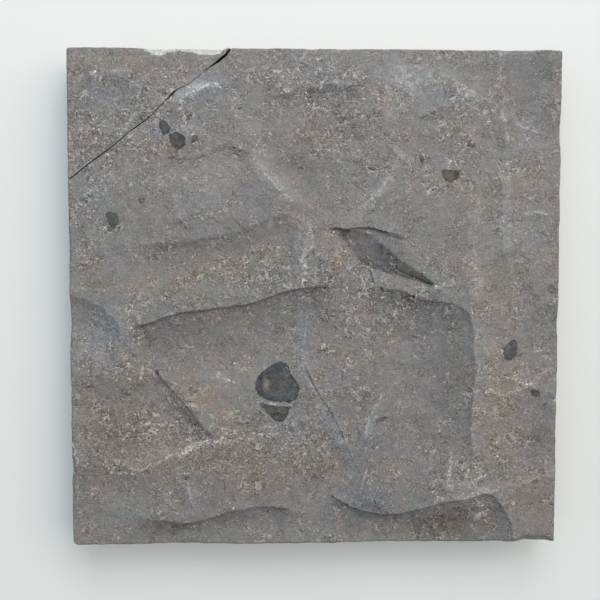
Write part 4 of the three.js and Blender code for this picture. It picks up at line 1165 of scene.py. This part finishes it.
        # hairlines: where a slow noise crosses its middle, broken up; a shadow lies along one side
        wide = kind["wide"]
        moved = vector("ADD", place, (kind["shift"], kind["shift"], 0))
        slow = less(cloud(kind["size"], 1.2, 0.5, moved, 0.5), 0.5)
        here = between(cloud(kind["size"] * 0.9, 2.5, 0.6, moved), 0.50, 0.60)
        line = times(between(size(slow), wide, wide * 0.2), here)
        shadow = times(between(size(add(slow, wide * 1.7)), wide * 1.2, 0.0), here)
        return line, shadow

    longCurls, longShadows = curls(texture["longCurls"])
    shortCurls, shortShadows = curls(texture["shortCurls"])
    curl = add(longCurls, times(shortCurls, texture["shortCurls"]["share"]))
    curlShadow = add(longShadows, times(shortShadows, texture["shortCurls"]["share"]))
    flecks = strokes(texture["flecks"])
    grit = strokes(texture["grit"])
    sparks = strokes(texture["sparks"])

    def lit(kind, *values):
        return times(*values, texture[kind]["light"])

    def raised(kind, *values):
        return times(*values, texture[kind]["height"])

    grains = add(centred(crumb, texture["crumb"]["light"]), centred(dust, texture["dust"]["light"]),
                 lit("fibre", fibre), lit("threads", threads), lit("darkThreads", darkThreads),
                 lit("flecks", flecks, add(0.2, busy)), lit("grit", grit),
                 lit("curls", curl, add(0.4, busy)), lit("curlShadows", curlShadow, add(0.4, busy)))
    light = add(1.0, times(tone, 0.9), centred(mottle, texture["mottle"]["light"]),
                centred(blotch, texture["blotch"]["light"]), lit("sparks", sparks, add(0.3, busy)),
                times(rough, grains))
    drift = [centred(cloud(*kind), amount) for *kind, amount in hueDrift]
    warmth = add(times(layer("warmth"), 0.95), *drift, layer("spotWarm"))
    colour = tint(finish["stone"], finish["brown"], between(warmth, -0.2, 1.3), "MULTIPLY")
    colour = tint(colour, finish["cool"], between(warmth, 0.2, -1.3), "MULTIPLY")
    blush = between(add(cloud(11, 3, 0.6, twist=0.5), centred(cloud(2.6, 2), 0.15)), 0.3, 0.7)
    colour = tint(colour, tint(finish["rosy"], finish["mossy"], blush), 1.0, "MULTIPLY")

    colour = tint(colour, finish["mauve"], layer("mauve"), "MULTIPLY")
    colour = tint(colour, finish["thread"], times(add(curl, sparks, flecks), 0.55))

    # pale bloom where the face is bruised or veined
    bloom = centred(cloud(veined["size"], 4, 0.7, loose), veined["broken"])
    bloom = add(times(tone, 2.0), bloom, veined["starts"])
    bloom = times(between(bloom, 0.0, 0.7), veined["most"])
    colour = tint(colour, finish["bloom"], bloom)

    wander = centred(cloud(2.4, 4, 0.65), 2.2)
    broken = times(between(cloud(2.2, 3, 0.7), 0.42, 0.62), between(cloud(0.9, 2), 0.35, 0.6))
    whiteAway = size(add(layer("whiteOff"), wander))
    whiteMark = between(less(layer("whiteHalf"), whiteAway), -0.35, 0.1)
    whiteMark = times(whiteMark, add(0.08, times(broken, 0.92)), between(layer("whiteHalf"), 0.02, 0.4))
    # dark hairlines in the rock, and painted shadow lines along ledges and creases
    darkMark = between(less(layer("darkHalf"), size(add(layer("darkOff"), times(wander, 0.4)))), -0.25, 0.1)
    darkMark = times(darkMark, between(layer("darkHalf"), 0.02, 0.45),
                     add(0.4, times(between(patches, 0.4, 0.55), 0.6)))
    noduleEdge = add(layer("noduleIn"), centred(cloud(2.2, 3, 0.6), 1.2))
    inNodule = times(between(noduleEdge, -0.45, 0.35), layer("noduleDark"))
    rim = times(between(size(add(noduleEdge, -0.4)), 0.6, 0.1), layer("noduleDark"))

    light = times(light, less(1.0, lit("darkMarks", darkMark)))
    noduleColour = tint(finish["nodule"], finish["rust"], layer("noduleBrown"))
    noduleColour = tint(noduleColour, finish["slate"], between(layer("spotWarm"), -0.3, -1.5))
    noduleColour = tint(noduleColour, finish["tan"], between(layer("spotWarm"), 0.2, 2.0))
    noduleLight = add(0.95, times(tone, 0.6), centred(blotch, 0.7), centred(crumb, 0.8), times(fibre, 1.6),
                      times(threads, 0.7), layer("spotLight"))
    colour = tint(colour, noduleColour, inNodule)
    light = add(times(light, less(1.0, inNodule)), times(noduleLight, inNodule))
    light = times(light, less(1.0, lit("rim", rim)))
    light = add(light, times(layer("spotLight"), less(1.0, inNodule), 0.5))
    colour = tint(colour, finish["white"], times(whiteMark, 0.75))
    light = add(light, lit("whiteMarks", whiteMark))
    # painted shade inside the crack, on top of the shade its depth gives
    gap = times(between(layer("crackOff"), 0.18, -0.05), between(layer("crackHalf"), 0.05, 0.22))
    light = times(light, less(1.0, times(gap, 0.8)))
    fresh = times(between(layer("chip"), 0.0, 0.12), add(0.7, centred(crumb, 0.5)))
    colour = tint(colour, finish["fresh"], fresh)
    colour = tint(colour, finish["sawn"], times(layer("sawn"), 0.8))

    swell = less(cloud(texture["crest"]["size"], 2, 0.6, twist=0.8), 0.5)
    crests = less(texture["crest"]["half"], size(swell))
    lumps = centred(cloud(texture["lump"]["size"], 4, 0.62, twist=0.6), texture["lump"]["height"])
    height = add(raised("crest", rough, busy, crests),
                 times(rough, add(lumps, raised("fibre", fibre), centred(crumb, texture["crumb"]["height"]),
                                  centred(dust, texture["dust"]["height"]), raised("curls", curl),
                                  raised("curlShadows", curlShadow))),
                 raised("threads", threads), raised("darkThreads", darkThreads), raised("flecks", flecks),
                 raised("darkMarks", darkMark), raised("whiteMarks", whiteMark), raised("rim", rim))
    relief = node(tree, "Bump", {"Height": height, "Distance": mm, "Strength": 1.0}).outputs[0]
    shader = node(tree, "BsdfPrincipled", {
        "Base Color": scaled(colour, light), "Normal": relief, "Roughness": finish["roughness"],
        "Specular IOR Level": finish["gloss"]})
    node(tree, "OutputMaterial", {"Surface": shader.outputs[0]})
    print("finish made with", len(tree.nodes), "nodes")
    return material


def buildStone():
    stone = sawnBlank()
    closerMesh(stone)
    print("slab meshed:", len(stone.data.polygons), "faces")
    x, y, depth, inChip = carve(stone)
    markUp(stone, x, y, depth, inChip)
    bpy.ops.object.select_all(action="DESELECT")
    stone.select_set(True)
    bpy.context.view_layer.objects.active = stone
    bpy.ops.object.shade_smooth_by_angle(angle=math.radians(38))
    stone.data.materials.clear()
    stone.data.materials.append(stoneFinish())
    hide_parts("limestone_block")
    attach(stone, "root")
    stone.data.calc_loop_triangles()
    print("stone carved:", len(stone.data.loop_triangles), "triangles")


board = {"colour": (0.748, 0.757, 0.748), "reach": 3.0, "roughness": 0.7}
lights = {
    "key": {"from": (0.64, 0.30, 0.70), "spread": 55, "strength": 1.40, "colour": (1.0, 0.90, 0.78)},
    "fill": {"from": (-0.75, 0.05, 0.66), "spread": 80, "strength": 0.55, "colour": (0.66, 0.92, 1.12)},
    "top": {"from": (0.10, 1.0, 0.95), "size": 0.9, "power": 10.3, "colour": (0.97, 1.0, 1.02)},
    "sky": {"colour": (0.93, 0.99, 1.0), "strength": 0.36},
}


def layBoard():
    bpy.ops.object.select_all(action="DESELECT")
    bpy.ops.mesh.primitive_plane_add(size=2 * board["reach"], location=(0, 0, 0))
    floor = bpy.context.object
    floor.name = "paintedBoard"
    paint = bpy.data.materials.new("white paint")
    paint.use_nodes = True
    shader = paint.node_tree.nodes["Principled BSDF"]
    shader.inputs["Base Color"].default_value = (*board["colour"], 1)
    shader.inputs["Roughness"].default_value = board["roughness"]
    shader.inputs["Specular IOR Level"].default_value = 0.2
    floor.data.materials.append(paint)


def hang(kind, light):
    # each lamp looks at the middle of the board
    away = Vector(light["from"])
    bpy.ops.object.light_add(type=kind, location=away, rotation=away.to_track_quat("Z", "Y").to_euler())
    bpy.context.object.data.color = light["colour"]
    return bpy.context.object


def lightScene():
    for name in ("key", "fill"):
        lamp = hang("SUN", lights[name])
        lamp.name = name
        lamp.data.energy = lights[name]["strength"]
        lamp.data.angle = math.radians(lights[name]["spread"])
    top = hang("AREA", lights["top"])
    top.data.energy = lights["top"]["power"]
    top.data.size = lights["top"]["size"]
    sky = lights["sky"]
    world = bpy.data.worlds.new("sky")
    bpy.context.scene.world = world
    world.use_nodes = True
    glow = world.node_tree.nodes["Background"]
    glow.inputs["Color"].default_value = (*sky["colour"], 1)
    glow.inputs["Strength"].default_value = sky["strength"]
    bpy.context.scene.view_settings.view_transform = "Standard"


placeCamera()
print("camera placed")
buildStone()
layBoard()
lightScene()
print("board and light in place")
